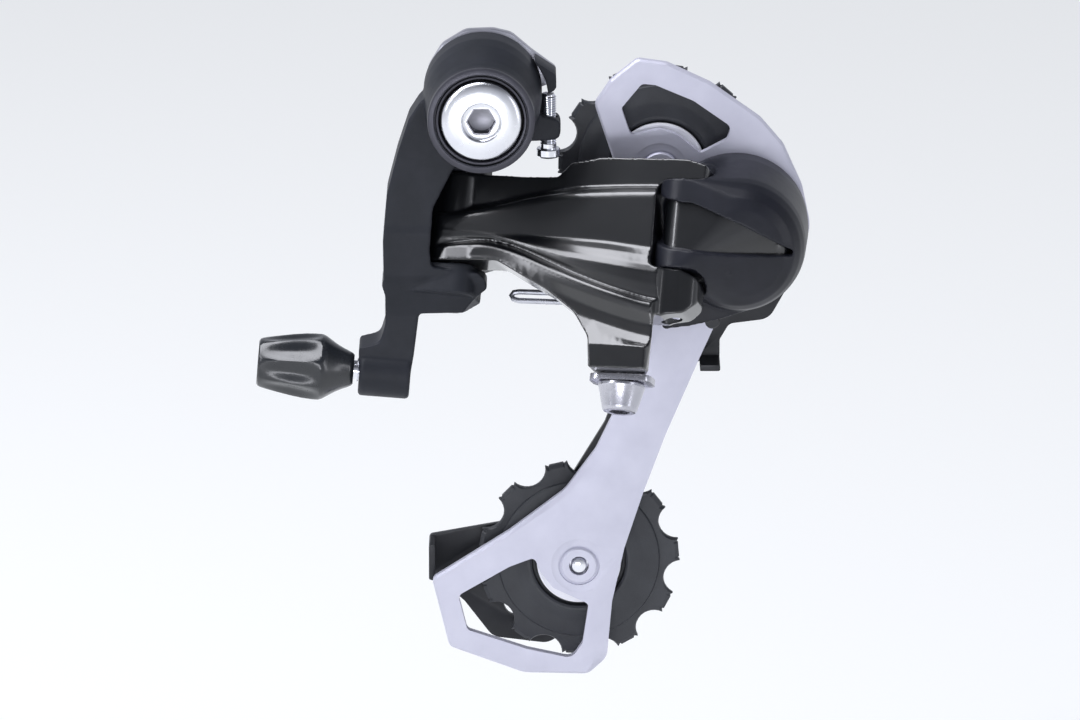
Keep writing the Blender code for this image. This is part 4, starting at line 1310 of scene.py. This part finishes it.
@dataclass
class InnerLink:
    """Inner link: pressed bar with a barrel at each end."""

    layout: Layout
    body: str = "inner_link"
    voxel: float = 0.3

    def build(self) -> None:
        """Build up the link, soften it, bore it and dress it."""
        low, high = BARREL_LOW, BARREL_HIGH
        shift = self.layout.inner_shift
        face = rounded([
            (-5.0, low, 1), (-5.0, high, 1), (5.0, high, 1), (14.0, 4.6, 4), (52.8, 4.6, 1),
            (52.8, -5.4, 1), (14.0, -5.4, 4), (5.0, low, 1),
        ])
        body = prism("inner_link", face, -6.0, 6.0, self.layout.face(*shift))
        side = rounded([
            (-4.7, -4.7, 4.5), (3.5, -4.7, 3), (6.0, -2.2, 2), (41.0, -2.2, 2), (45.0, -4.4, 3), (52.4, -4.4, 4),
            (52.4, 4.4, 4), (45.0, 4.4, 3), (41.0, 1.6, 2), (6.0, 1.6, 2), (3.5, 4.7, 3), (-4.7, 4.7, 4.5),
        ])
        body = trim(body, side, -20, 20, self.layout.inner())
        body = soften(body, self.voxel, 4)
        for along in (0, self.layout.length):
            body = bore(body, PIN_HOLE, -THROUGH, THROUGH, self.layout.inner(along))
        dress(body, Finish.BLACK_STEEL, self.body, "inner_link", angle=60)


# ---------------------------------------------------------------- lower knuckle


@dataclass
class LowerKnuckle:
    """Lower knuckle: domed spring housing with the block that carries the link pins."""

    layout: Layout
    body: str = "p_knuckle"
    back: float = 2.3
    front: float = -24.5
    back_radius: float = 15.2
    front_radius: float = 14.3
    ear_room: float = 6.4
    voxel: float = 0.3

    def build(self) -> None:
        """Make the casting, its pin, spring and seal."""
        dress(self.casting(), Finish.KNUCKLE_BLACK, self.body, "p_knuckle", angle=60)
        dress(self.groove(), Finish.GLOSS_BLACK, self.body, angle=60)
        pin = rod("inner_pin_p", PIN_RADIUS, -12.6, BARREL_HIGH, self.layout.inner(self.layout.length))
        dress(pin, Finish.PLATED_STEEL, self.body, "inner_pin_p")
        axis = self.layout.cage_axis
        dress(wire("p_spring", coil(axis, 7.9, -15.0, 0.8, 4.0), 0.85), Finish.SPRING, self.body, "p_spring")
        seal = turned("p_seal", [(8.2, 2.0), (9.3, 2.0), (9.4, 2.1), (9.4, 2.4), (9.3, 2.5), (8.2, 2.5)], axis)
        dress(seal, Finish.RUBBER, self.body, "p_seal")

    def dome(self, name: str, less: float) -> Thing:
        """Turn the housing's dome.

        Args:
            name: Name of the piece.
            less: How much smaller than the outside it is.

        Returns:
            The closed dome.
        """
        front, back = self.front + less, self.back
        shell = [
            (0, front), (4.0, front + 0.05), (7.0, front + 0.35), (9.5, front + 1.0), (11.6 - less, front + 2.2),
            (13.0 - less, front + 4.0), (self.front_radius - less - 0.4, front + 6.2),
            (self.front_radius - less, front + 8.4), (self.back_radius - less, back - 6),
            (self.back_radius - less, back - 0.6), (self.back_radius - less - 0.5, back), (0, back),
        ]
        return turned(name, shell, self.layout.cage_axis)

    def cover(self, name: str, less: float) -> Thing:
        """Wrap the dome and the pin boss in one skin.

        Args:
            name: Name of the piece.
            less: How much smaller than the outside it is.

        Returns:
            The closed cover.
        """
        place = self.layout.link(self.layout.length)
        boss = [Vector((p[0], p[1])) for p in circle((0.6, -0.9), 5.2 - less, ROUND)]
        return wrap(self.dome(name, less), prism("boss", boss, BARREL_LOW + less, BARREL_HIGH - GAP, place))

    def wedge(self, name: str, out: float) -> Thing:
        """Cut the tapered block that the front groove is made with.

        Args:
            name: Name of the piece.
            out: How much larger than the groove it is.

        Returns:
            The closed block.
        """
        outline = rounded([
            (34.0, -17.4 + out, 0.5), (44.5, -18.3 + out, 3), (54.0, -22.2 + out, 10), (64.9 + out, -28.2 + out, 0.5),
            (64.9 + out, -29.2 - out, 0.5), (52.0, -28.3 - out, 10), (42.0, -27.0 - out, 2), (34.0, -26.6 - out, 0.5),
        ], 12)
        return prism(name, outline, -40, -14.5 + out, self.layout.front)

    def clear(self, body: Thing, back: float) -> Thing:
        """Cut away the room of the outer link's two ears and everything behind a depth.

        Args:
            body: The casting or the groove's floor.
            back: The depth.

        Returns:
            The same piece.
        """
        for low, high in ((BARREL_HIGH - GAP, 40), (-40, BARREL_LOW)):
            body = bore(body, self.ear_room, low, high, self.layout.link(self.layout.length), ROUND)
        behind = [Vector(p) for p in ((20, -80), (90, -80), (90, 20), (20, 20))]
        return cut(body, prism("behind", behind, back, THROUGH, self.layout.front))

    def groove(self) -> Thing:
        """Fit the smooth floor of the front groove."""
        floor = combine(self.cover("knuckle_groove", 1.5), self.wedge("fill", 0.5), "INTERSECT")
        floor = self.clear(floor, -15.6)
        return bore(floor, PIN_HOLE, -THROUGH, THROUGH, self.layout.link(self.layout.length))

    def casting(self) -> Thing:
        """Build up the housing, sink its groove, soften it and bore it."""
        layout = self.layout
        end = layout.length
        body = cut(self.cover("p_knuckle", 0.0), self.wedge("wedge", 0.0))
        body = join(body, self.cover("core", 2.3))
        skirt = rounded([
            (41.2, -30.0, 2), (38.0, -40.5, 3), (37.6, -46.4, 1), (43.6, -45.6, 6), (49.8, -44.2, 8), (57.5, -41.6, 8),
            (62.6, -38.0, 4), (58.0, -24.0, 2),
        ], 10)
        body = join(body, prism("skirt", skirt, -18.6, self.back - 1.0, layout.front))
        shift = layout.inner_shift
        block = rounded([
            (-3.6, -1.0, 1), (12.0, -1.0, 1), (12.0, shift[1] + 4.6, 2),
            (shift[0] - 4.4, shift[1] + 4.6, 4), (shift[0] - 4.4, shift[1] - 4.6, 4), (-3.6, 4.6, 3),
        ], 12)
        body = join(body, prism("block", block, BARREL_LOW, BARREL_HIGH - GAP, layout.link(end)))
        body = self.clear(body, self.back)
        slot = rounded([
            (-14.0, -1.0, 1), (-3.0, -6.4, 2), (3.0, -5.9, 3), (5.1, -3.0, 3), (5.1, 3.0, 3), (2.0, 6.2, 3),
            (-14.0, 8.0, 1),
        ])
        body = cut(body, prism("room", slot, -5.9, 5.1, layout.inner(end)))
        body = soften(body, self.voxel, 5)
        chamber = [(0, -20.3), (5.3, -20.3), (5.3, -16.0), (9.7, -16.0), (9.7, 10), (0, 10)]
        body = cut(body, turned("chamber", chamber, layout.cage_axis))
        body = bore(body, PIN_HOLE, -THROUGH, THROUGH, layout.link(end))
        return bore(body, PIN_HOLE, -13.0, 11.4, layout.inner(end))


# ---------------------------------------------------------------- cage


@dataclass
class Cage:
    """Outer and inner cage plates with what holds them together."""

    layout: Layout
    body: str = "cage"
    outer_face: float = 2.8
    outer_back: float = 4.8
    inner_face: float = 13.2
    inner_back: float = 14.7
    crown: float = 0.5
    strip: float = 2.7
    middle: Sequence[Pair] = (
        (-128.0, 16.0), (-101.0, 21.5), (-88.0, 27.0), (-76.0, 32.0), (-56.0, 41.0), (-42.0, 46.0),
    )

    def build(self) -> None:
        """Make the plates, the axle and the stop pin."""
        dress(self.outer_plate(), Finish.SILVER, self.body, "outer_plate", angle=20)
        dress(self.inner_plate(), Finish.BLACK_STEEL, self.body, "inner_plate")
        axis = self.layout.cage_axis
        axle = turned("p_axle", [(0, -19.8), (4.6, -19.8), (5.0, -19.3), (5.0, 2.3), (4.8, 2.5), (0, 2.5)], axis)
        axle = cut(axle, prism("drive", hexagon(4.0), -1.5, 4.5, axis))
        dress(axle, Finish.PLATED_STEEL, self.body, "p_axle")
        stop = frame_on(Vector((48.6, 0, -49.0)), Vector((0, 1, 0)))
        dress(rod("stop_pin", 1.6, -3.2, 2.5, stop, 0.35), Finish.BLACK_STEEL, self.body, "stop_pin")

    def strip_width(self, spot: Vector) -> float:
        """Return how wide the sloped edge strip is beside a point of the outer plate's outline."""
        x, z = spot
        centre = between(self.middle, z)
        if x > centre:
            return self.strip * between([(-129.0, 0.2), (-124.0, 1.0), (-50.0, 1.0), (-44.0, 0.15)], z)
        return self.strip * between([(-102.0, 0.15), (-88.0, 0.55), (-76.0, 1.0), (-50.0, 1.0), (-42.0, 0.15)], z)

    def outer_plate(self) -> Thing:
        """Cut the outer plate, with a raised middle, sloped edges and two windows."""
        outline = rounded([
            (27.6, -15.2, 1), (23.6, -3.1, 2), (27.0, 2.0, 2), (32.6, 6.6, 2), (38.9, 5.7, 3), (48.0, 1.4, 4),
            (58.6, -6.2, 8), (63.5, -12.0, 5), (67.5, -21.0, 8), (69.4, -30.0, 8), (65.5, -41.0, 8),
            (56.0, -46.5, 6), (49.9, -50.0, 3), (45.9, -59.1, 6), (38.8, -76.0, 8), (34.2, -88.6, 8),
            (30.2, -101.0, 8), (27.6, -113.0, 6), (26.5, -125.5, 4), (22.5, -129.2, 3), (8.7, -128.9, 8),
            (-7.2, -123.0, 2), (-10.9, -107.8, 1.5), (5.6, -97.2, 10), (17.5, -88.0, 8), (24.0, -79.0, 6),
            (28.5, -69.5, 8), (33.5, -56.0, 8), (38.5, -42.0, 6), (38.0, -33.0, 4), (33.0, -25.0, 4),
        ])
        inset = []
        for index, spot in enumerate(outline):
            run = (outline[(index + 1) % len(outline)] - outline[index - 1]).normalized()
            inset.append(spot + Vector((run.y, -run.x)) * self.strip_width(spot))
        levels = ((outline, self.outer_back), (outline, self.outer_face + self.crown), (inset, self.outer_face))
        sections = [[Vector((p.x, p.y, y)) for p in points] for points, y in levels]
        plate = loft("outer_plate", sections, self.layout.front)
        for hole in self.windows():
            plate = cut(plate, prism("window", hole, 0, 8, self.layout.front))
        plate = round_edges(plate, 0.28, 2, 45)
        for joint in ("guide_pulley_spin", "tension_pulley_spin"):
            plate = self.boss(plate, self.layout.upright(joint))
        return plate

    def windows(self) -> list[list[Vector]]:
        """Return the outlines of the outer plate's windows."""
        upper = rounded([
            (29.3, -4.0, 1), (33.6, 1.3, 1.4), (36.5, 1.0, 1.5), (44.5, -2.4, 6), (52.4, -8.0, 1.6),
            (51.6, -10.8, 1.2), (46.0, -13.8, 1), (41.0, -9.7, 4), (37.5, -8.6, 3), (31.3, -10.0, 1.2),
        ])
        lower = rounded([
            (-5.3, -111.5, 1.5), (-3.4, -119.2, 1.5), (9.4, -123.5, 6), (19.0, -125.6, 2.5), (21.3, -122.2, 2),
            (22.6, -113.4, 1.2), (15.0, -109.8, 2), (12.2, -106.2, 2), (11.0, -103.0, 1.2), (5.6, -105.1, 4),
        ])
        return [upper, lower]

    def boss(self, plate: Thing, axis: Matrix) -> Thing:
        """Press a shallow dish, a groove and a raised boss round a pulley bolt.

        Args:
            plate: The outer plate.
            axis: The pulley's axis.

        Returns:
            The same plate.
        """
        face = self.outer_face
        dish = [(0, face - 2), (6.0, face - 2), (5.9, face + 0.02), (5.2, face + 0.16), (0, face + 0.16)]
        plate = cut(plate, turned("dish", dish, axis))
        groove = [(3.95, face - 1), (4.5, face - 1), (4.35, face + 0.5), (3.95, face + 0.5)]
        plate = cut(plate, turned("groove", groove, axis))
        raised = [(0, face + 1.0), (0, face - 0.35), (3.6, face - 0.35), (3.85, face - 0.1), (3.85, face + 1.0)]
        plate = join(plate, turned("raised", raised, axis))
        return bore(plate, 2.1, -5, 10, axis)

    def inner_plate(self) -> Thing:
        """Cut the inner plate with its two chain guard tabs."""
        outline = rounded([
            (31.0, -14.0, 4), (34.0, -8.0, 4), (44.0, -7.0, 5), (56.0, -12.0, 6), (64.5, -24.0, 8),
            (67.0, -42.0, 5), (61.0, -52.9, 4), (52.5, -54.0, 2), (50.5, -57.5, 1), (50.5, -62.3, 0.6),
            (45.9, -62.3, 0.6), (40.0, -74.0, 5), (33.0, -92.0, 6), (29.0, -106.0, 6), (24.0, -118.0, 5),
            (14.0, -125.5, 4), (2.0, -124.0, 4), (-4.0, -116.0, 3), (-11.6, -109.0, 1), (-11.6, -101.2, 1),
            (6.0, -98.0, 5), (17.0, -91.0, 6), (26.0, -76.0, 6), (34.0, -54.0, 6), (38.5, -40.0, 5),
            (36.0, -30.0, 5),
        ])
        lower = rounded([(2.5, -109.5, 2), (5.0, -119.0, 3), (13.0, -120.5, 2), (18.5, -113.5, 2), (11.0, -106.0, 2)])
        upper = rounded([
            (45.5, -15.0, 2), (54.5, -17.0, 3), (59.0, -27.0, 3), (60.5, -41.0, 3), (50.0, -46.0, 3), (46.0, -32.0, 3),
        ])
        holes = [lower, upper]
        holes += [circle(self.layout.centre(j), 2.7) for j in ("guide_pulley_spin", "tension_pulley_spin")]
        front = self.layout.front
        plate = prism("inner_plate", outline, self.inner_face, self.inner_back, front, holes)
        low_tab = rounded([(-11.6, -109.0, 0.5), (-10.3, -109.3, 0.3), (-10.3, -101.3, 0.3), (-11.6, -101.2, 0.5)])
        plate = join(plate, prism("low_tab", low_tab, self.inner_face - 7.0, self.inner_face + 0.5, front))
        stop_tab = rounded([(46.2, -62.3, 0.3), (50.5, -62.3, 0.5), (50.5, -61.0, 0.4), (46.2, -61.0, 0.3)])
        plate = join(plate, prism("stop_tab", stop_tab, 5.4, self.inner_face + 0.5, front))
        return round_edges(plate, 0.25)


# ---------------------------------------------------------------- pulleys


class Wheel(Enum):
    """The two jockey wheels: name of the set, turn of its first tooth in degrees, radius of its caps."""

    GUIDE = ("guide", 146.3, 9.6)
    TENSION = ("tension", 103.2, 9.0)

    @property
    def title(self) -> str:
        """Return the name of the set."""
        return self.value[0]

    @property
    def first_tooth(self) -> float:
        """Return the turn of the first tooth in radians."""
        return math.radians(self.value[1])

    @property
    def cap_radius(self) -> float:
        """Return the radius of the dust caps."""
        return self.value[2]


@dataclass
class PulleySet:
    """Jockey wheel with its bush, two dust caps and bolt."""

    layout: Layout
    wheel: Wheel
    middle: float = 9.0
    teeth: int = 11
    chain_pitch: float = 12.7
    roller_radius: float = 3.95
    tip_radius: float = 21.5
    tip_width: float = 3.5
    tip_thinning: float = 0.75
    root_radius: float = 17.5
    seat_arc: float = 144.0
    tooth_thickness: float = 2.2
    cap_thickness: float = 0.9
    near: float = 5.1
    far: float = 12.9

    @property
    def name(self) -> str:
        """Return the set's name."""
        return self.wheel.title

    @property
    def axis(self) -> Matrix:
        """Return the frame on the wheel's axis."""
        return self.layout.upright(self.name + "_pulley_spin")

    def build(self) -> None:
        """Make the wheel, bush, caps and bolt."""
        dress(self.moulding(), Finish.WHEEL, self.name + "_pulley", self.name + "_pulley", angle=28)
        bush = round_edges(turned(
            self.name + "_bush", [(2.7, self.near), (3.6, self.near), (3.6, self.far), (2.7, self.far)], self.axis,
        ), 0.15)
        dress(bush, Finish.BRONZE, "cage", self.name + "_bush")
        for side, height, way in (("outer", self.near, 1), ("inner", self.far, -1)):
            name = f"{self.name}_cap_{side}"
            dress(self.cap(name, height, way), Finish.CAP, "cage", name, angle=28)
        dress(self.bolt(), Finish.CHROME, "cage", self.name + "_bolt", angle=25)

    def outline(self) -> list[Vector]:
        """Return the toothed outline: roller seats on the pitch circle between flat tips."""
        pitch_radius = self.chain_pitch / (2 * math.sin(math.pi / self.teeth))
        half_tip = self.tip_width / 2 / self.tip_radius
        steps = 12
        outline = []
        for tooth in range(self.teeth):
            centre = 2 * math.pi * tooth / self.teeth
            seat = centre + math.pi / self.teeth
            for side in (-half_tip, -half_tip * 0.85, half_tip * 0.85, half_tip):
                reach = self.tip_radius if abs(side) < half_tip else self.tip_radius - 0.35
                outline.append(reach * Vector((math.cos(centre + side), math.sin(centre + side))))
            middle = pitch_radius * Vector((math.cos(seat), math.sin(seat)))
            for step in range(steps + 1):
                angle = seat + math.radians(180 + self.seat_arc * (0.5 - step / steps))
                outline.append(middle + self.roller_radius * Vector((math.cos(angle), math.sin(angle))))
        return outline

    def moulding(self) -> Thing:
        """Mould the toothed rim, web and hub in one piece."""
        centre = self.layout.centre(self.name + "_pulley_spin")
        turn = Matrix.Rotation(self.wheel.first_tooth, 4, "Z")
        place = self.layout.front @ Matrix.Translation((centre[0], centre[1], 0)) @ turn
        half = self.tooth_thickness / 2
        tooth_height = self.tip_radius - self.root_radius
        full = self.outline()
        sections = []
        for height, taper in ((-half, 1), (-half + 0.5, 0), (half - 0.5, 0), (half, 1)):
            points = []
            for spot in full:
                reach = spot.length
                less = self.tip_thinning * taper * max(0.0, reach - self.root_radius) / tooth_height
                points.append(Vector((*(spot * (1 - less / reach)), self.middle + height)))
            sections.append(points)
        wheel = loft(self.name + "_pulley", sections, place)
        wheel = cut(wheel, turned("core", [(0, 0), (10.5, 0), (10.5, 20), (0, 20)], self.axis))
        hub = self.cap_thickness + GAP
        half_hub = self.middle - self.near - hub
        side = [
            (3.9, half_hub), (9.0, half_hub), (9.2, half_hub - 0.2), (9.4, half_hub - 1.1), (9.9, half_hub - 1.1),
            (10.1, half_hub + 0.25), (10.5, half_hub + 0.5), (11.0, half_hub + 0.5), (11.5, half_hub + 0.2),
            (13.2, 2.1), (14.0, 1.85), (16.6, 1.75), (17.1, 1.6), (17.4, 1.0),
        ]
        profile = [(r, self.middle - h) for r, h in side] + [(r, self.middle + h) for r, h in reversed(side)]
        return join(wheel, turned("hub", profile, self.axis))

    def cap(self, name: str, height: float, way: int) -> Thing:
        """Press a dust cap with a rolled rim.

        Args:
            name: Name of the piece.
            height: Height of its outer face.
            way: Direction to the wheel, 1 or -1.

        Returns:
            The closed cap.
        """
        thick = self.cap_thickness * way
        rim = self.wheel.cap_radius
        profile = [
            (3.9, height), (5.4, height), (5.7, height + 0.12 * way), (rim - 0.9, height + 0.12 * way),
            (rim - 0.35, height + 0.02 * way), (rim - 0.1, height + 0.1 * way), (rim, height + 0.3 * way),
            (rim, height + thick), (3.9, height + thick),
        ]
        return turned(name, profile, self.axis)

    def bolt(self) -> Thing:
        """Turn the pulley bolt: domed threaded end in front, head with a hex socket behind."""
        head = 15.0
        profile: list[Pair] = [
            (0, 2.3), (0.9, 2.35), (1.45, 2.6), (1.7, 3.0), (1.7, 4.9), (2.4, 4.9), (2.4, head), (4.1, head),
            (4.2, head + 0.2), (4.2, head + 1.6), (4.0, head + 2.0), (3.7, head + 2.2), (0, head + 2.2),
        ]
        bolt = turned(self.name + "_bolt", profile, self.axis)
        return cut(bolt, prism("drive", hexagon(3.0), head, head + 5, self.axis))


# ---------------------------------------------------------------- studio


@dataclass(frozen=True)
class Lamp:
    """A soft rectangular light: its place and size in metres and its power in watts."""

    name: str
    place: Corner
    width: float
    height: float
    power: float
    colour: Colour = (0.93, 0.94, 1.0)


@dataclass
class Studio:
    """Pale floor, soft lights and the camera. Lengths here are in metres."""

    target: Vector = field(default_factory=lambda: Vector((12.18, 0, -58.3)) * MM)
    elevation: float = 16.0
    distance: float = 1.8
    width: float = 0.2288
    floor_height: float = -0.175
    floor_size: float = 12.0
    floor_colour: Colour = (0.42, 0.425, 0.43)
    floor_light: Colour = (0.96, 0.98, 1.0)
    floor_glow: float = 0.56
    wall: Colour = (0.62, 0.64, 0.70)
    ceiling: Colour = (0.10, 0.105, 0.12)
    sensor: float = 36.0
    sight: float = 50.0
    lamps: Sequence[Lamp] = (
        Lamp("front_low", place=(-0.1, -0.9, -0.1), width=0.5, height=0.10, power=1.4),
        Lamp("left_front", place=(-0.78, -0.5, 0.5), width=0.12, height=0.8, power=3.4),
        Lamp("right_front", place=(0.9, -0.6, 0.0), width=0.16, height=0.9, power=1.6),
        Lamp("overhead", place=(-0.3, -0.04, 0.82), width=0.6, height=0.62, power=9.5),
    )

    def build(self) -> None:
        """Make the floor, the lights, the surroundings and the camera."""
        self.floor()
        self.surroundings()
        for lamp in self.lamps:
            self.light(lamp)
        self.camera()

    def floor(self) -> None:
        """Lay the pale floor."""
        deselect()
        bpy.ops.mesh.primitive_grid_add(x_subdivisions=2, y_subdivisions=2, size=self.floor_size)
        floor = bpy.context.active_object
        floor.name = "studio_floor"
        floor.data.transform(Matrix.Translation((0, 0, self.floor_height)))
        material = bpy.data.materials.new("studio_floor")
        material.use_nodes = True
        shader = material.node_tree.nodes["Principled BSDF"]
        shader.inputs["Base Color"].default_value = (*self.floor_colour, 1.0)
        shader.inputs["Roughness"].default_value = 0.9
        shader.inputs["Emission Color"].default_value = (*self.floor_light, 1.0)
        shader.inputs["Emission Strength"].default_value = self.floor_glow
        floor.data.materials.append(material)

    def surroundings(self) -> None:
        """Light the scene from all round, with a darker ceiling than walls."""
        world = bpy.data.worlds.new("studio")
        world.use_nodes = True
        bpy.context.scene.world = world
        tree = world.node_tree
        place = tree.nodes.new("ShaderNodeTexCoord")
        split = tree.nodes.new("ShaderNodeSeparateXYZ")
        ramp = tree.nodes.new("ShaderNodeValToRGB")
        ramp.color_ramp.elements[0].position = 0.05
        ramp.color_ramp.elements[0].color = (*self.wall, 1.0)
        ramp.color_ramp.elements[1].position = 0.75
        ramp.color_ramp.elements[1].color = (*self.ceiling, 1.0)
        tree.links.new(place.outputs["Generated"], split.inputs["Vector"])
        tree.links.new(split.outputs["Z"], ramp.inputs["Fac"])
        tree.links.new(ramp.outputs["Color"], tree.nodes["Background"].inputs["Color"])

    def light(self, lamp: Lamp) -> None:
        """Stand a light so that it faces the derailleur.

        Args:
            lamp: The light.
        """
        light = bpy.data.lights.new(lamp.name, "AREA")
        light.shape = "RECTANGLE"
        light.size = lamp.width
        light.size_y = lamp.height
        light.energy = lamp.power
        light.color = lamp.colour
        obj = bpy.data.objects.new(lamp.name, light)
        bpy.context.collection.objects.link(obj)
        obj.location = lamp.place
        obj.rotation_euler = (self.target - Vector(lamp.place)).to_track_quat("-Z", "Y").to_euler()

    def camera(self) -> None:
        """Stand the camera and make it the scene's."""
        tilt = math.radians(self.elevation)
        camera = bpy.data.cameras.new("camera")
        camera.sensor_width = self.sensor
        camera.lens = self.sensor * self.distance / self.width
        camera.clip_end = self.sight
        obj = bpy.data.objects.new("camera", camera)
        bpy.context.collection.objects.link(obj)
        back = Vector((0, -math.cos(tilt), math.sin(tilt)))
        obj.location = self.target + back * self.distance
        obj.rotation_euler = (-back).to_track_quat("-Z", "Y").to_euler()
        bpy.context.scene.camera = obj
        bpy.context.scene.view_settings.view_transform = "Standard"


def main() -> None:
    """Build the derailleur and its studio."""
    logging.basicConfig(level=logging.INFO, format="%(message)s")
    layout = Layout({joint["name"]: joint for joint in frame["joints"]})
    upper = UpperKnuckle(layout)
    HangerAxle(layout).build()
    upper.build()
    BarrelAdjuster(upper.adjuster).build()
    OuterLink(layout).build()
    CableAnchor(layout.anchor).build()
    InnerLink(layout).build()
    LowerKnuckle(layout).build()
    Cage(layout).build()
    for wheel in Wheel:
        PulleySet(layout, wheel).build()
    Studio().build()


if __name__ == "__main__":
    main()
